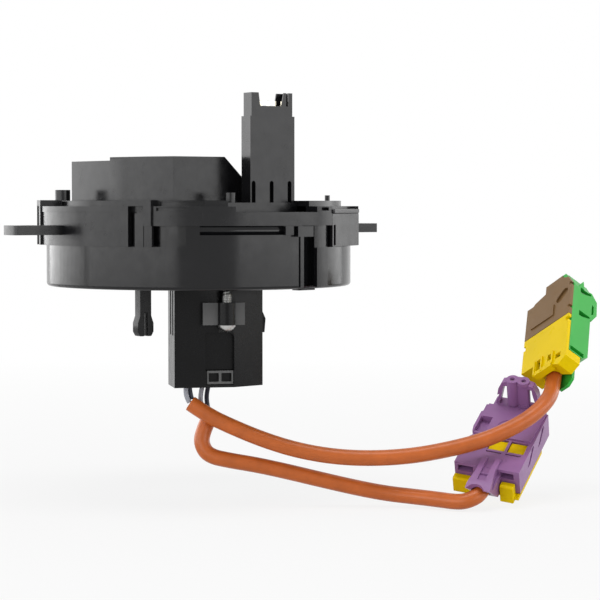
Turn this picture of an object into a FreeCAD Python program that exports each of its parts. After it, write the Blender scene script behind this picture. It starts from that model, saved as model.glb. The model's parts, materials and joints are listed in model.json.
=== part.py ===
import FreeCAD, Part
import math
import os

# Steering clock spring, sizes in millimetres.
# Z is the steering axis and +Z points to the column. Z = 0 is the upper face of the two mounting lugs.
# Angles around Z are counted from +X, anticlockwise as seen from the column.

V = FreeCAD.Vector
Z_AXIS = V(0, 0, 1)

# Fits
FACE_GAP = 0.3
SLIDE_GAP = 0.3
RUN_GAP = 0.08
SNUG_GAP = 0.15
# A length past every piece, for cuts that clear all before them
FAR = 200.0

# Stator case, a drum open at the top
CASE_R = 56.0
CASE_WALL = 2.0
CASE_FLOOR = 2.0
CASE_BOTTOM_Z = -22.3
CASE_EDGE_RADIUS = 1.2
CASE_FLOOR_WIDTH = 9.0
POCKET_BACK = 1.5

# Cover, which carries the skirt, the lugs and the latches
COVER_Z = 4.7
COVER_PLATE = 2.0
COVER_STEP = 4.0
COVER_TOP_INSET = 3.5
COVER_RIM_PROUD = 1.7
LEDGE_PROUD = 2.9
SKIRT_GAP = 0.4
SKIRT_WALL = 2.2
SKIRT_DROP = 11.9
BAND_DROP = 4.7
PLATFORM_WALL = 1.5
SKIRT_END_DEG = 584.7

# Latches between the cover and the case
LATCH_DEGS = (45.0, 103.0, 161.0, 219.2)
LATCH_PROUD = 0.8
LATCH_RISE = 0.2
LATCH_WIDTH_DEG = 10.8
LATCH_LEG_DEG = 2.7
LATCH_BAR = 2.1
TONGUE_DEG = 3.1

# Pegs on the cover and on the tower's foot
PEG_DEG = 163.1
PEG_INSET = 1.9
PEG_R = 2.75
PEG_RISE = 3.9
PIP_DEG = -29.3
PIP_INSET = 5.0
PIP_R = 0.95
PIP_RISE = 2.0
TOWER_PEG_R = 1.85
TOWER_PEG_RISE = 3.5
TOWER_PEG_X = 6.5
TOWER_PEG_Y = 2.1

# Mounting lugs
LUG_REACH = 76.5
LUG_WIDTH = 11.0
LUG_THICK = 3.4
LUG_HOLE_R = 2.6
LUG_HOLE_X = 69.0
LUG_CHAMFER = 1.6

# Rotor hub and its bore for the steering shaft
BORE_R = 15.5
HUB_WALL = 2.0
HUB_RISE = 6.3
DISC_THICK = 2.0
DISC_SINK = 0.2
CORING_DEPTH = 0.8
CORING_COUNT = 6
RETAINER_SECTION = 1.4
RETAINER_REACH = 2.5
RETAINER_SINK = 0.6
MAGNET_WALL = 2.1
MAGNET_HEIGHT = 3.6

# Wound flat cable
RIBBON_TO_HUB = 2.7
RIBBON_TO_WALL = 5.0
RIBBON_TURNS = 8
RIBBON_THICK = 0.4
RIBBON_WIDTH = 14.0
RIBBON_LOW_Z = -16.5
SLIP_SHEET_THICK = 0.5
TERMINAL_DEG = -90.0
TERMINAL_HALF = 4.0

# Polygonal sensor housing on the cover, a C around the hub
SENSOR_TOP_Z = 24.3
SENSOR_STEP = 1.2
SENSOR_WALL = 1.6
SENSOR_HOLE_GAP = 1.0
SENSOR_OUTLINE = [
    (-26.4, -29.0),
    (-32.5, -18.9),
    (-37.4, -1.4),
    (-39.9, 24.7),
    (-28.0, 38.0),
    (-10.0, 40.0),
    (12.0, 30.0),
    (12.0, -29.0),
]
SENSOR_STEP_Y = -1.4
SENSOR_SLOPE_X = -5.7
BOARD_THICK = 1.2
BOARD_RISE = 3.2

# Connector tower
TOWER_X = 7.3
TOWER_Y = -37.3
TOWER_WIDTH = 18.3
TOWER_DEPTH = 6.2
TOWER_SHOULDER_Z = 38.6
TOWER_NOTCH_Z = 42.2
TOWER_TOP_Z = 46.9
TOWER_NECK_STEP = 0.7
TOWER_WALL = 1.1
TOWER_CAVITY_FLOOR_Z = 31.0
TOWER_PRONG = 3.6
TOWER_SLOT_WIDTH = 1.4
TOWER_SLOT_TOP_Z = 15.0
FLANGE_THICK = 3.3
FLANGE_BACK = 7.4
FLANGE_FRONT = 4.7
FLANGE_LEFT = 23.6
FLANGE_RIGHT = 9.2
PIN_SIZE = 0.64
PIN_PITCH = 2.87
PIN_COUNT = 5
PIN_TOP_Z = 44.2

# Side box on the drum
SIDE_BOX_DEG = -52.0
SIDE_BOX_PROUD = 0.4
SIDE_BOX_NEAR = -12.0
SIDE_GAP_DEG = 0.3
SIDE_BOX_FAR = 18.0
SIDE_BOX_DEPTH = 3.7
SIDE_BOX_BOTTOM_Z = -7.8
SIDE_BOX_TOP_Z = 4.2
SIDE_LID_THICK = 1.5
SIDE_LID_PROUD = 0.9
SIDE_LID_DEPTH = 3.6
SIDE_LID_REACH = 3.2

# Block below the rotor, in a frame turned about Z with its front on -Y
BLOCK_TURN = -20.7
BLOCK_LEFT = -13.2
BLOCK_FRONT = -28.4
BLOCK_FACET_X = 8.4
BLOCK_RIGHT = 20.0
BLOCK_FACET_Y = -21.2
BLOCK_REAR = -12.0
BLOCK_HEIGHT = 36.0
BLOCK_WALL = 1.8
BLOCK_REAR_GAP = 1.7
RECESS_LEFT = -2.2
RECESS_DEPTH = 2.4
RECESS_LOW_Z = -52.0
RECESS_TOP_Z = -38.4
BOSS_X = 5.2
BOSS_R = 3.1
BOSS_LOW_Z = -35.6
BOSS_TOP_Z = -27.6
BOSS_PLATE_HALF = 7.6
BOSS_PLATE_DEPTH = 2.7
SCREW_R = 1.8
SCREW_HEAD_R = 3.3
SCREW_HEAD_HEIGHT = 2.5
SCREW_TOP_Z = -24.2
KEEPER_WIDTH = 9.6
KEEPER_HEIGHT = 4.9
KEEPER_Z = -54.5
INSERT_RISE = 1.0

# Snap hook below the rotor
HOOK_X = -29.7
HOOK_Y = -12.0
HOOK_WIDTH = 4.5
HOOK_DEPTH = 4.3
HOOK_LOW_Z = -39.7
HOOK_BARB_Z = -35.0
HOOK_BARB = 0.9
HOOK_SLOT = 1.2

# Airbag leads, in a frame turned about Z that has x across the view, y away and z up
LEAD_TURN = -29.3
LEAD_D = 5.7
WIRE_D = 1.7
LEAD_A_ROUTE = [
    (-3.2, -24.0, -64.1),
    (2.9, -25.0, -68.3),
    (11.8, -26.0, -72.5),
    (22.5, -27.0, -76.9),
    (34.6, -28.0, -80.7),
    (48.1, -29.0, -83.1),
    (62.3, -30.0, -83.7),
    (76.5, -31.0, -82.7),
    (90.0, -31.0, -80.3),
    (102.4, -30.6, -77.2),
    (112.2, -29.2, -73.2),
    (120.0, -26.6, -69.1),
    (126.0, -21.6, -64.6),
    (129.66, -14.46, -60.54),
    (131.91, -5.51, -52.18),
]
LEAD_B_ROUTE = [
    (3.1, -20.0, -70.8),
    (1.1, -21.0, -75.0),
    (0.7, -22.0, -79.2),
    (3.3, -23.0, -83.2),
    (10.8, -24.0, -84.8),
    (20.5, -24.3, -86.4),
    (31.9, -24.8, -88.9),
    (44.1, -25.0, -91.9),
    (57.1, -25.5, -94.9),
    (67.5, -26.6, -96.8),
    (77.0, -29.2, -97.6),
    (85.04, -32.96, -98.13),
    (92.37, -37.75, -98.59),
    (96.45, -38.34, -97.56),
    (99.94, -36.75, -95.83),
    (101.71, -33.67, -93.6),
]
WIRE_LOOP_ROUTE = [(-4.6, -25.9, -57.4), (-5.4, -25.6, -60.6), (-3.6, -25.2, -63.6)]
WIRE_BLUE_ROUTE = [(-3.5, -24.4, -57.3), (-3.5, -24.2, -60.0), (-2.7, -24.0, -62.5)]
WIRE_GREY_ROUTE = [(1.3, -20.9, -57.4), (0.2, -20.8, -61.3), (0.8, -20.4, -65.7), (2.2, -20.0, -69.6)]
WIRE_BLACK_ROUTE = [(3.4, -21.0, -57.5), (2.4, -19.2, -61.3), (3.0, -18.9, -66.1), (4.0, -19.6, -70.6)]

# Connector on lead A: green body, brown cover and yellow lock.
# Each connector has a frame of its own: x across its face, y into its depth, z away from its cord.
A_CORNER = (119.6, -3.0, -56.7)
A_ACROSS = (0.5972, -0.6222, 0.5062)
A_ALONG = (0.1808, 0.7192, 0.6708)
A_WIDTH = 23.8
A_LENGTH = 34.5
A_BACK = 10.8
A_PLATE = 1.5
A_SEAT_Z = 3.6
A_SHROUD = 6.2
A_SPLIT = 17.8
A_PEAK_X = 20.4
A_PEAK_RISE = 6.6
A_STEP_X = 9.7
A_STEP_RISE = 6.3
A_SHOULDER = 2.4
A_NOTCH_X = 4.2
A_NOTCH_RISE = 0.9
A_CORD_X = 11.2
A_CORD_Y = 6.4
A_CORD_ROOM = 0.6
A_FOOT_Z = 1.0
A_COLLAR_Z = -3.0
A_COLLAR_WALL = 1.4
A_TOE_X = 19.9
A_TOE_Z = -6.1
A_HEEL_Z = -3.9
A_TOE_BACK = 7.2
A_TAIL_REACH = 7.0
A_TAIL_WIDTH = 6.2
A_TAIL_WALL = 1.2
A_ARM_PROUD = 3.1
A_ARM_WIDTH = 8.0
A_ARM_LOW = 21.8
A_ARM_HIGH = 34.8
A_ARM_SLOT = 1.1
A_ARM_FREE = 5.8
A_MOUTH_WIDTH = 15.0
A_MOUTH_HEIGHT = 5.4
A_MOUTH_DEPTH = 10.0
A_CONTACT_PITCH = 6.0
A_POST_INSET = 4.0
A_POST_Z = 7.2

# Connector on lead B: violet right-angle body and yellow lock
B_CORNER = (91.8, -27.0, -85.2)
B_ACROSS = (0.8963, -0.4242, -0.1290)
B_ALONG = (0.4238, 0.7343, 0.5302)
B_WIDTH = 24.5
B_LENGTH = 34.5
B_DEPTH = 9.6
B_PROUD = 0.6
B_PROUD_FROM = 17.0
B_CORD_X = 12.8
B_CORD_Y = 4.8
B_RELIEF_REACH = 12.0
B_RELIEF_HALF = 4.6
B_CORD_END = 5.0
B_FACE = 0.5
B_HEAD_X = 12.3
B_HEAD_HALF = 4.4
B_HEAD_HEIGHT = 11.4
B_HEAD_LOW = 35.3
B_HEAD_HIGH = 40.0
B_HOLE_PITCH = 4.4
B_PLATE_GAP = 0.3
B_PLATE = 1.5
B_PLATE_END = 27.0
B_MARK_X = 13.1
B_MARK_Z = 22.7
B_MARK_R = 4.4
B_TAB_FROM = 5.0
B_TAB_REACH = 3.2
B_WINDOW_LOW = 10.0
B_WINDOW_HIGH = 16.3
B_WINDOWS = ((9.0, 15.5), (16.4, 22.8))
LOCK_TRAVEL = 2.5
CONTACT_R = 0.8


def block_of(x0, x1, y0, y1, z0, z1):
    return Part.makeBox(x1 - x0, y1 - y0, z1 - z0, V(x0, y0, z0))


def rod(r, z0, z1, x=0.0, y=0.0):
    return Part.makeCylinder(r, z1 - z0, V(x, y, z0))


def ring(r_in, r_out, z0, z1):
    return rod(r_out, z0, z1).cut(rod(r_in, z0 - 1, z1 + 1))


def at_angle(r, deg, z=0.0):
    a = math.radians(deg)
    return V(r * math.cos(a), r * math.sin(a), z)


def sector(r_in, r_out, z0, z1, deg0, deg1):
    # a length of ring between two angles
    mid = (deg0 + deg1) / 2.0
    outer = Part.Arc(at_angle(r_out, deg0, z0), at_angle(r_out, mid, z0), at_angle(r_out, deg1, z0))
    inner = Part.Arc(at_angle(r_in, deg1, z0), at_angle(r_in, mid, z0), at_angle(r_in, deg0, z0))
    side1 = Part.LineSegment(at_angle(r_out, deg1, z0), at_angle(r_in, deg1, z0))
    side0 = Part.LineSegment(at_angle(r_in, deg0, z0), at_angle(r_out, deg0, z0))
    edges = [outer.toShape(), side1.toShape(), inner.toShape(), side0.toShape()]
    return Part.Face(Part.Wire(edges)).extrude(V(0, 0, z1 - z0))


def prism(points, z0, z1):
    corners = [V(x, y, z0) for x, y in points]
    return Part.Face(Part.makePolygon(corners + corners[:1])).extrude(V(0, 0, z1 - z0))


def profile_x(points, x0, x1):
    # a profile drawn in Y and Z, carried along X
    corners = [V(x0, y, z) for y, z in points]
    return Part.Face(Part.makePolygon(corners + corners[:1])).extrude(V(x1 - x0, 0, 0))


def profile_y(points, y0, y1):
    # a profile drawn in X and Z, carried along Y
    corners = [V(x, y0, z) for x, z in points]
    return Part.Face(Part.makePolygon(corners + corners[:1])).extrude(V(0, y1 - y0, 0))


def turned(shape, deg):
    copy = shape.copy()
    copy.rotate(V(0, 0, 0), Z_AXIS, deg)
    return copy


def join(shapes):
    return shapes[0].multiFuse(shapes[1:]).removeSplitter()


def placed(shape, across, along, seat):
    # from a connector's own frame, with its cord end at the origin, to its place on the lead
    down = V(*along).cross(V(*across))
    turn = FreeCAD.Rotation(V(*across), down, V(*along), "ZXY")
    copy = shape.copy()
    copy.Placement = FreeCAD.Placement(V(*seat), turn)
    return turned(copy, LEAD_TURN)


def route_path(points, name, diameter):
    # straight runs joined by tangent arcs, each as large as its two runs allow
    corners = [V(*p) for p in points]
    edges = []
    start = corners[0]
    radii = []
    for before, corner, after in zip(corners, corners[1:], corners[2:]):
        run_in = corner - before
        run_out = after - corner
        reach = 0.45 * min(run_in.Length, run_out.Length)
        half = run_in.getAngle(run_out) / 2.0
        radius = reach / math.tan(half)
        radii.append(radius)
        run_in.normalize()
        run_out.normalize()
        inward = run_out - run_in
        inward.normalize()
        arc_start = corner - run_in * reach
        arc_end = corner + run_out * reach
        arc_mid = corner + inward * (radius / math.cos(half) - radius)
        edges.append(Part.LineSegment(start, arc_start).toShape())
        edges.append(Part.Arc(arc_start, arc_mid, arc_end).toShape())
        start = arc_end
    edges.append(Part.LineSegment(start, corners[-1]).toShape())
    path = Part.Wire(edges)
    tightest = min(radii) / diameter
    print(f"{name}: length {path.Length:.1f} mm, tightest arc {min(radii):.1f} mm, {tightest:.1f} diameters")
    return path


def tube(points, diameter, name):
    path = route_path(points, name, diameter)
    heading = V(*points[1]) - V(*points[0])
    section = Part.Wire(Part.Circle(V(*points[0]), heading, diameter / 2.0).toShape())
    solid = path.makePipeShell([section], True, False)
    expected = math.pi * diameter * diameter / 4.0 * path.Length
    print(f"{name}: volume {solid.Volume:.1f}, section times length {expected:.1f}")
    return turned(solid, LEAD_TURN)


# Places that several pieces share
case_inner_r = CASE_R - CASE_WALL
lip_r = CASE_R - CASE_FLOOR_WIDTH
cover_top_r = CASE_R - COVER_TOP_INSET
cover_rim_r = CASE_R + COVER_RIM_PROUD
ledge_r = CASE_R + LEDGE_PROUD
skirt_inner_r = CASE_R + SKIRT_GAP
skirt_r = skirt_inner_r + SKIRT_WALL
latch_frame_r = skirt_r + LATCH_PROUD
cover_top_z = COVER_Z + COVER_STEP
latch_top_z = cover_top_z + LATCH_RISE
side_box_face = CASE_R + SIDE_BOX_PROUD
side_lid_r = CASE_R + SIDE_LID_REACH
side_near_deg = 360.0 + SIDE_BOX_DEG + math.degrees(math.atan(SIDE_BOX_NEAR / side_box_face))
side_far_deg = 360.0 + SIDE_BOX_DEG + math.degrees(math.atan(SIDE_BOX_FAR / side_box_face))
band_start_deg = SKIRT_END_DEG - 361.0
skirt_start_deg = side_far_deg + SIDE_GAP_DEG
skirt_low_z = COVER_Z - SKIRT_DROP
band_low_z = COVER_Z - BAND_DROP
hub_r = BORE_R + HUB_WALL
hub_top_z = cover_top_z + HUB_RISE
sensor_hole_r = hub_r + MAGNET_WALL + SENSOR_HOLE_GAP
block_rear_r = BORE_R + BLOCK_REAR_GAP
disc_low_z = CASE_BOTTOM_Z + DISC_SINK
disc_top_z = disc_low_z + DISC_THICK
disc_r = lip_r - FACE_GAP
block_low_z = disc_low_z - BLOCK_HEIGHT
thick_wall = BLOCK_WALL + RECESS_DEPTH
keeper_x = (RECESS_LEFT + BLOCK_FACET_X) / 2.0 + 0.2
flange_x0 = TOWER_X - FLANGE_LEFT
flange_x1 = TOWER_X + FLANGE_RIGHT
flange_y0 = TOWER_Y - FLANGE_FRONT
flange_y1 = TOWER_Y + FLANGE_BACK - TOWER_DEPTH / 2.0
platform_y = flange_y1 + SNUG_GAP
platform_x0 = flange_x0 - SNUG_GAP - PLATFORM_WALL
platform_x1 = flange_x1 + SNUG_GAP + PLATFORM_WALL
ribbon_inner_r = hub_r + RIBBON_TO_HUB
ribbon_outer_r = case_inner_r - RIBBON_TO_WALL
ribbon_pitch = (ribbon_outer_r - ribbon_inner_r) / RIBBON_TURNS


def case_pocket(deg0, deg1, z0, z1, depth):
    # a pocket in the drum's outer wall: the pad behind it, and the cut
    margin = math.degrees(POCKET_BACK / CASE_R)
    back_r = CASE_R - depth - POCKET_BACK
    pad = sector(back_r, CASE_R - CASE_WALL / 2.0, z0 - POCKET_BACK, z1, deg0 - margin, deg1 + margin)
    cut = sector(CASE_R - depth, skirt_r + 1.0, z0, z1 + 0.01, deg0, deg1)
    return pad, cut


def make_case():
    profile = [
        V(lip_r, 0, CASE_BOTTOM_Z),
        V(CASE_R, 0, CASE_BOTTOM_Z),
        V(CASE_R, 0, COVER_Z),
        V(case_inner_r, 0, COVER_Z),
        V(case_inner_r, 0, CASE_BOTTOM_Z + CASE_FLOOR),
        V(lip_r, 0, CASE_BOTTOM_Z + CASE_FLOOR),
    ]
    shell = Part.Face(Part.makePolygon(profile + profile[:1])).revolve(V(0, 0, 0), Z_AXIS, 360)
    outer_low = [
        e for e in shell.Edges
        if abs(e.BoundBox.ZMin - CASE_BOTTOM_Z) < 0.01 and abs(e.BoundBox.ZMax - CASE_BOTTOM_Z) < 0.01
        and e.BoundBox.XLength > 2 * CASE_R - 0.1
    ]
    shell = shell.makeFillet(CASE_EDGE_RADIUS, outer_low)

    # pockets under the band, the full-height recess and the seat of the side box
    lid_back = side_box_face + SIDE_LID_PROUD - SIDE_LID_DEPTH - FACE_GAP
    side0 = SIDE_BOX_DEG + math.degrees(math.atan(SIDE_BOX_NEAR / lid_back))
    side1 = SIDE_BOX_DEG + math.degrees(math.atan(SIDE_BOX_FAR / lid_back))
    pockets = [
        case_pocket(221.9, 236.1, skirt_low_z, band_low_z - 0.1, 3.0),
        case_pocket(281.7, 287.2, CASE_BOTTOM_Z + 1.0, band_low_z - 0.1, 3.0),
        case_pocket(side0, side1, SIDE_BOX_BOTTOM_Z, COVER_Z, SIDE_BOX_DEPTH),
    ]
    shell = join([shell] + [pad for pad, _ in pockets])
    for _, cut in pockets:
        shell = shell.cut(cut)

    # the wall steps down where the cover's platform passes over it
    platform = block_of(
        platform_x0 - SNUG_GAP, platform_x1 + SNUG_GAP, -FAR, platform_y + PLATFORM_WALL,
        COVER_Z - COVER_PLATE, FAR,
    )
    shell = shell.cut(platform)

    # the rounded groove under the band, and the panel with its edge beside the recess
    groove_low = V(CASE_R + 0.02, 0, band_low_z - 3.2)
    groove_top = V(CASE_R + 0.02, 0, band_low_z + 0.2)
    groove = Part.Face(Part.Wire([
        Part.Arc(groove_low, V(CASE_R - 1.3, 0, band_low_z - 1.5), groove_top).toShape(),
        Part.LineSegment(groove_top, groove_low).toShape(),
    ])).revolve(V(0, 0, 0), Z_AXIS, 31.5)
    shell = shell.cut(turned(groove, 241.0))
    extras = [
        sector(CASE_R - 1.0, CASE_R + 0.5, CASE_BOTTOM_Z + 0.6, band_low_z - 0.2, 279.6, 281.2),
        sector(CASE_R - 1.0, CASE_R + 0.9, CASE_BOTTOM_Z + 0.6, SIDE_BOX_BOTTOM_Z, 287.6, 294.0),
        sector(CASE_R - 1.0, CASE_R + 0.9, band_low_z - 3.3, band_low_z - 0.2, 272.7, 276.2),
        sector(CASE_R - 1.0, CASE_R + 2.1, band_low_z - 3.9, band_low_z - 0.2, 277.2, 284.4),
    ]
    for deg in LATCH_DEGS:
        low = deg + LATCH_WIDTH_DEG / 2.0 - LATCH_LEG_DEG - TONGUE_DEG - 0.2
        extras.append(
            sector(CASE_R - 1.0, skirt_r, skirt_low_z, COVER_Z - 0.4, low, low + TONGUE_DEG)
        )
    return join([shell] + extras)


def make_cover():
    hole_r = hub_r + FACE_GAP
    plate = ring(hole_r, cover_top_r, cover_top_z - COVER_PLATE, cover_top_z)
    step = ring(cover_top_r - COVER_PLATE, cover_top_r, COVER_Z, cover_top_z)
    rim = ring(cover_top_r - COVER_PLATE, cover_rim_r, COVER_Z, COVER_Z + COVER_PLATE)
    ledge = sector(CASE_R, ledge_r, COVER_Z, COVER_Z + COVER_PLATE, skirt_start_deg, SKIRT_END_DEG)
    skirt = sector(skirt_inner_r, skirt_r, skirt_low_z, COVER_Z + 1.0, skirt_start_deg, SKIRT_END_DEG)
    band = sector(skirt_inner_r - 0.1, cover_rim_r, band_low_z, COVER_Z + 0.5, band_start_deg, side_near_deg)
    body = join([plate, step, rim, ledge, skirt, band])

    # the platform under the connector tower lies one plate lower
    clear = block_of(
        platform_x0 + PLATFORM_WALL, platform_x1 - PLATFORM_WALL, -FAR, platform_y, COVER_Z, FAR
    )
    floor = block_of(
        platform_x0, platform_x1, -cover_rim_r, platform_y + PLATFORM_WALL, COVER_Z - COVER_PLATE, COVER_Z
    )
    floor = floor.common(rod((skirt_inner_r + cover_rim_r) / 2.0, -FAR, FAR))
    riser = block_of(
        platform_x0, platform_x1, platform_y, platform_y + PLATFORM_WALL, COVER_Z - COVER_PLATE, cover_top_z
    )
    body = join([body.cut(clear), floor, riser])

    peg = at_angle(cover_top_r - PEG_INSET, PEG_DEG)
    pip = at_angle(cover_top_r - PIP_INSET, PIP_DEG)
    extras = [
        sector(cover_rim_r - 0.5, cover_rim_r + 0.35, band_low_z, COVER_Z, 242.0, 246.0),
        rod(PEG_R, COVER_Z + 1, cover_top_z + PEG_RISE, peg.x, peg.y),
        rod(PIP_R, cover_top_z - 1, cover_top_z + PIP_RISE, pip.x, pip.y),
    ]
    for side in (-1, 1):
        extras.append(make_lug(side))
    for deg in LATCH_DEGS:
        extras.append(latch_frame(deg))
    body = join([body] + extras)

    for deg in LATCH_DEGS:
        body = body.cut(latch_window(deg))
    for side in (-1, 1):
        body = body.cut(rod(LUG_HOLE_R, -LUG_THICK - 1, 1, side * LUG_HOLE_X, 0))
    slots = [
        sector(cover_rim_r - 1.6, cover_rim_r + 3, COVER_Z + 0.5, COVER_Z + 1.6, 226.0, 236.5),
        sector(cover_rim_r - 1.6, cover_rim_r + 3, COVER_Z + 0.5, COVER_Z + 1.6, 289.0, 293.5),
        sector(cover_top_r - 0.9, cover_top_r + 3, COVER_Z + 2.2, cover_top_z - 0.4, 171.0, 177.0),
        sector(cover_top_r - 0.9, cover_top_r + 3, COVER_Z + 2.2, cover_top_z - 0.4, 226.0, 243.0),
    ]
    for slot in slots:
        body = body.cut(slot)
    return body.cut(turned(side_lid_block(SNUG_GAP), SIDE_BOX_DEG))


def make_lug(side):
    inner = skirt_r - 1.4
    half = LUG_WIDTH / 2.0
    tip = LUG_REACH
    outline = [
        (side * inner, -half),
        (side * (tip - LUG_CHAMFER / 2.0), -half),
        (side * tip, -half + LUG_CHAMFER),
        (side * tip, half - LUG_CHAMFER),
        (side * (tip - LUG_CHAMFER / 2.0), half),
        (side * inner, half),
    ]
    return prism(outline, -LUG_THICK, 0.0)


def latch_frame(deg):
    half = LATCH_WIDTH_DEG / 2.0
    low = skirt_low_z
    if abs(deg - LATCH_DEGS[-1]) < 0.1:
        short_leg_low = band_low_z
    else:
        short_leg_low = low
    deg0 = deg - half
    deg1 = deg + half
    left = sector(skirt_inner_r, latch_frame_r, low, latch_top_z, deg0, deg0 + LATCH_LEG_DEG)
    right = sector(skirt_inner_r, latch_frame_r, short_leg_low, latch_top_z, deg1 - LATCH_LEG_DEG, deg1)
    bar = sector(skirt_inner_r - 1.0, latch_frame_r, latch_top_z - LATCH_BAR, latch_top_z, deg0, deg1)
    root = sector(cover_top_r - 1.0, skirt_inner_r, COVER_Z + 0.5, latch_top_z, deg0, deg1)
    return join([left, right, bar, root])


def latch_window(deg):
    half = LATCH_WIDTH_DEG / 2.0
    inner = deg + half - LATCH_LEG_DEG
    return sector(
        skirt_inner_r - 0.2, latch_frame_r + 1, skirt_low_z - 1, latch_top_z - LATCH_BAR,
        deg - half + LATCH_LEG_DEG, inner,
    )


def make_sensor_housing():
    low = cover_top_z
    slope_run = SENSOR_TOP_Z - low
    outline = Part.makePolygon([V(x, y, low) for x, y in SENSOR_OUTLINE + SENSOR_OUTLINE[:1]])
    inner = outline.makeOffset2D(-SENSOR_WALL, 2)
    outer_solid = Part.Face(outline).extrude(V(0, 0, slope_run))
    inner_solid = Part.Face(inner).extrude(V(0, 0, slope_run - SENSOR_WALL))
    outer_solid = outer_solid.cut(rod(sensor_hole_r, low - 1, SENSOR_TOP_Z + 1))
    inner_solid = inner_solid.cut(rod(sensor_hole_r + SENSOR_WALL, low - 1, SENSOR_TOP_Z + 1))

    # the lower step beyond the second corner
    stepped = block_of(-FAR, FAR, SENSOR_STEP_Y, FAR, SENSOR_TOP_Z - SENSOR_STEP, FAR)
    inner_step = stepped.translated(V(0, -SENSOR_WALL, -SENSOR_WALL))
    # the sloped right end
    x0 = SENSOR_SLOPE_X
    slope = profile_y(
        [(x0, SENSOR_TOP_Z), (x0 + slope_run + 1, low - 1), (FAR, low - 1), (FAR, FAR), (x0, FAR)],
        -FAR, FAR,
    )
    inner_slope = slope.translated(V(-SENSOR_WALL * math.sqrt(2.0), 0, 0))
    outer_solid = outer_solid.cut(stepped).cut(slope)
    inner_solid = inner_solid.cut(inner_step).cut(inner_slope)
    housing = outer_solid.cut(inner_solid)
    return housing, inner


def make_sensor_board(inner):
    z0 = cover_top_z + BOARD_RISE
    board = Part.Face(inner.makeOffset2D(-SNUG_GAP, 2)).extrude(V(0, 0, BOARD_THICK))
    board.translate(V(0, 0, z0 - cover_top_z))
    board = board.cut(rod(sensor_hole_r + SENSOR_WALL + SNUG_GAP, z0 - 1, z0 + 5))
    slope_at = SENSOR_SLOPE_X + SENSOR_TOP_Z - z0 - BOARD_THICK - SENSOR_WALL * math.sqrt(2.0) - FACE_GAP
    board = board.cut(block_of(slope_at, FAR, -FAR, FAR, z0 - 1, z0 + 5))
    chip = block_of(-33, -27, 2, 8, z0 + BOARD_THICK, z0 + BOARD_THICK + 1.4)
    cap = rod(1.6, z0 + BOARD_THICK, z0 + BOARD_THICK + 3.0, -30, 14)
    posts = [rod(1.4, cover_top_z, z0, x, y) for x, y in ((-30, -14), (-33, 18), (-12, -25), (-12, 30))]
    return join([board, chip, cap] + posts)


def make_tower():
    half_w = TOWER_WIDTH / 2.0
    half_d = TOWER_DEPTH / 2.0
    x, y = TOWER_X, TOWER_Y
    flange_top = COVER_Z + FLANGE_THICK
    flange = block_of(flange_x0, flange_x1, flange_y0, flange_y1, COVER_Z, flange_top)
    column = block_of(x - half_w, x + half_w, y - half_d, y + half_d, flange_top, TOWER_SHOULDER_Z)
    neck_w = half_w - TOWER_NECK_STEP
    neck_d = half_d - TOWER_NECK_STEP / 2.0
    neck = block_of(x - neck_w, x + neck_w, y - neck_d, y + neck_d, TOWER_SHOULDER_Z, TOWER_TOP_Z)
    peg = rod(
        TOWER_PEG_R, flange_top, flange_top + TOWER_PEG_RISE, flange_x0 + TOWER_PEG_X, flange_y0 + TOWER_PEG_Y
    )
    body = join([flange, column, neck, peg])

    # the socket for the plug, and the notch between the two end prongs
    cavity_w = neck_w - TOWER_WALL
    cavity_d = neck_d - TOWER_WALL / 2.0
    cavity = block_of(
        x - cavity_w, x + cavity_w, y - cavity_d, y + cavity_d, TOWER_CAVITY_FLOOR_Z, TOWER_TOP_Z + 1
    )
    notch_x0 = x - neck_w + TOWER_PRONG
    notch_x1 = x + neck_w - TOWER_PRONG - 0.8
    notch = profile_y(
        [(notch_x0, TOWER_NOTCH_Z), (notch_x1, TOWER_NOTCH_Z), (notch_x1 + 1.0, TOWER_TOP_Z + 1),
         (notch_x0 - 0.8, TOWER_TOP_Z + 1)],
        y - 10, y + 10,
    )
    prong_slot = block_of(x + neck_w - 2.6, x + neck_w - 1.6, y - 10, y, TOWER_NOTCH_Z, TOWER_TOP_Z + 1)
    body = body.cut(cavity).cut(notch).cut(prong_slot)

    # three round-topped slots at the foot
    for place in (-half_w + 1.3, -0.4, half_w - 2.1):
        slot_x = x + place
        foot = block_of(
            slot_x - TOWER_SLOT_WIDTH / 2, slot_x + TOWER_SLOT_WIDTH / 2, y - half_d - 1, y - half_d + 1.0,
            flange_top, TOWER_SLOT_TOP_Z,
        )
        start = V(slot_x, y - half_d - 1, TOWER_SLOT_TOP_Z)
        top = Part.makeCylinder(TOWER_SLOT_WIDTH / 2, 2.0, start, V(0, 1, 0))
        body = body.cut(foot).cut(top)
    holes = [pin_solid(i, SNUG_GAP / 2.0, COVER_Z - 1, TOWER_TOP_Z) for i in range(PIN_COUNT)]
    for hole in holes:
        body = body.cut(hole)
    return body


def pin_x(index):
    return TOWER_X + (index - (PIN_COUNT - 1) / 2.0) * PIN_PITCH


def pin_solid(index, grow, z0, z1):
    px = pin_x(index)
    half = PIN_SIZE / 2.0 + grow
    return block_of(px - half, px + half, TOWER_Y - half, TOWER_Y + half, z0, z1)


def make_tower_pins():
    low = COVER_Z - COVER_PLATE - 1.2
    pins = []
    for i in range(PIN_COUNT):
        pin = pin_solid(i, 0.0, low, PIN_TOP_Z)
        tips = [e for e in pin.Edges if abs(e.BoundBox.ZMin - PIN_TOP_Z) < 0.01]
        pins.append(pin.makeChamfer(0.2, tips))
    return Part.makeCompound(pins)


def pin_passages():
    # where the pins pass through the cover's platform
    return [pin_solid(i, SNUG_GAP, COVER_Z - COVER_PLATE - 1, COVER_Z + 1) for i in range(PIN_COUNT)]


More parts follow.
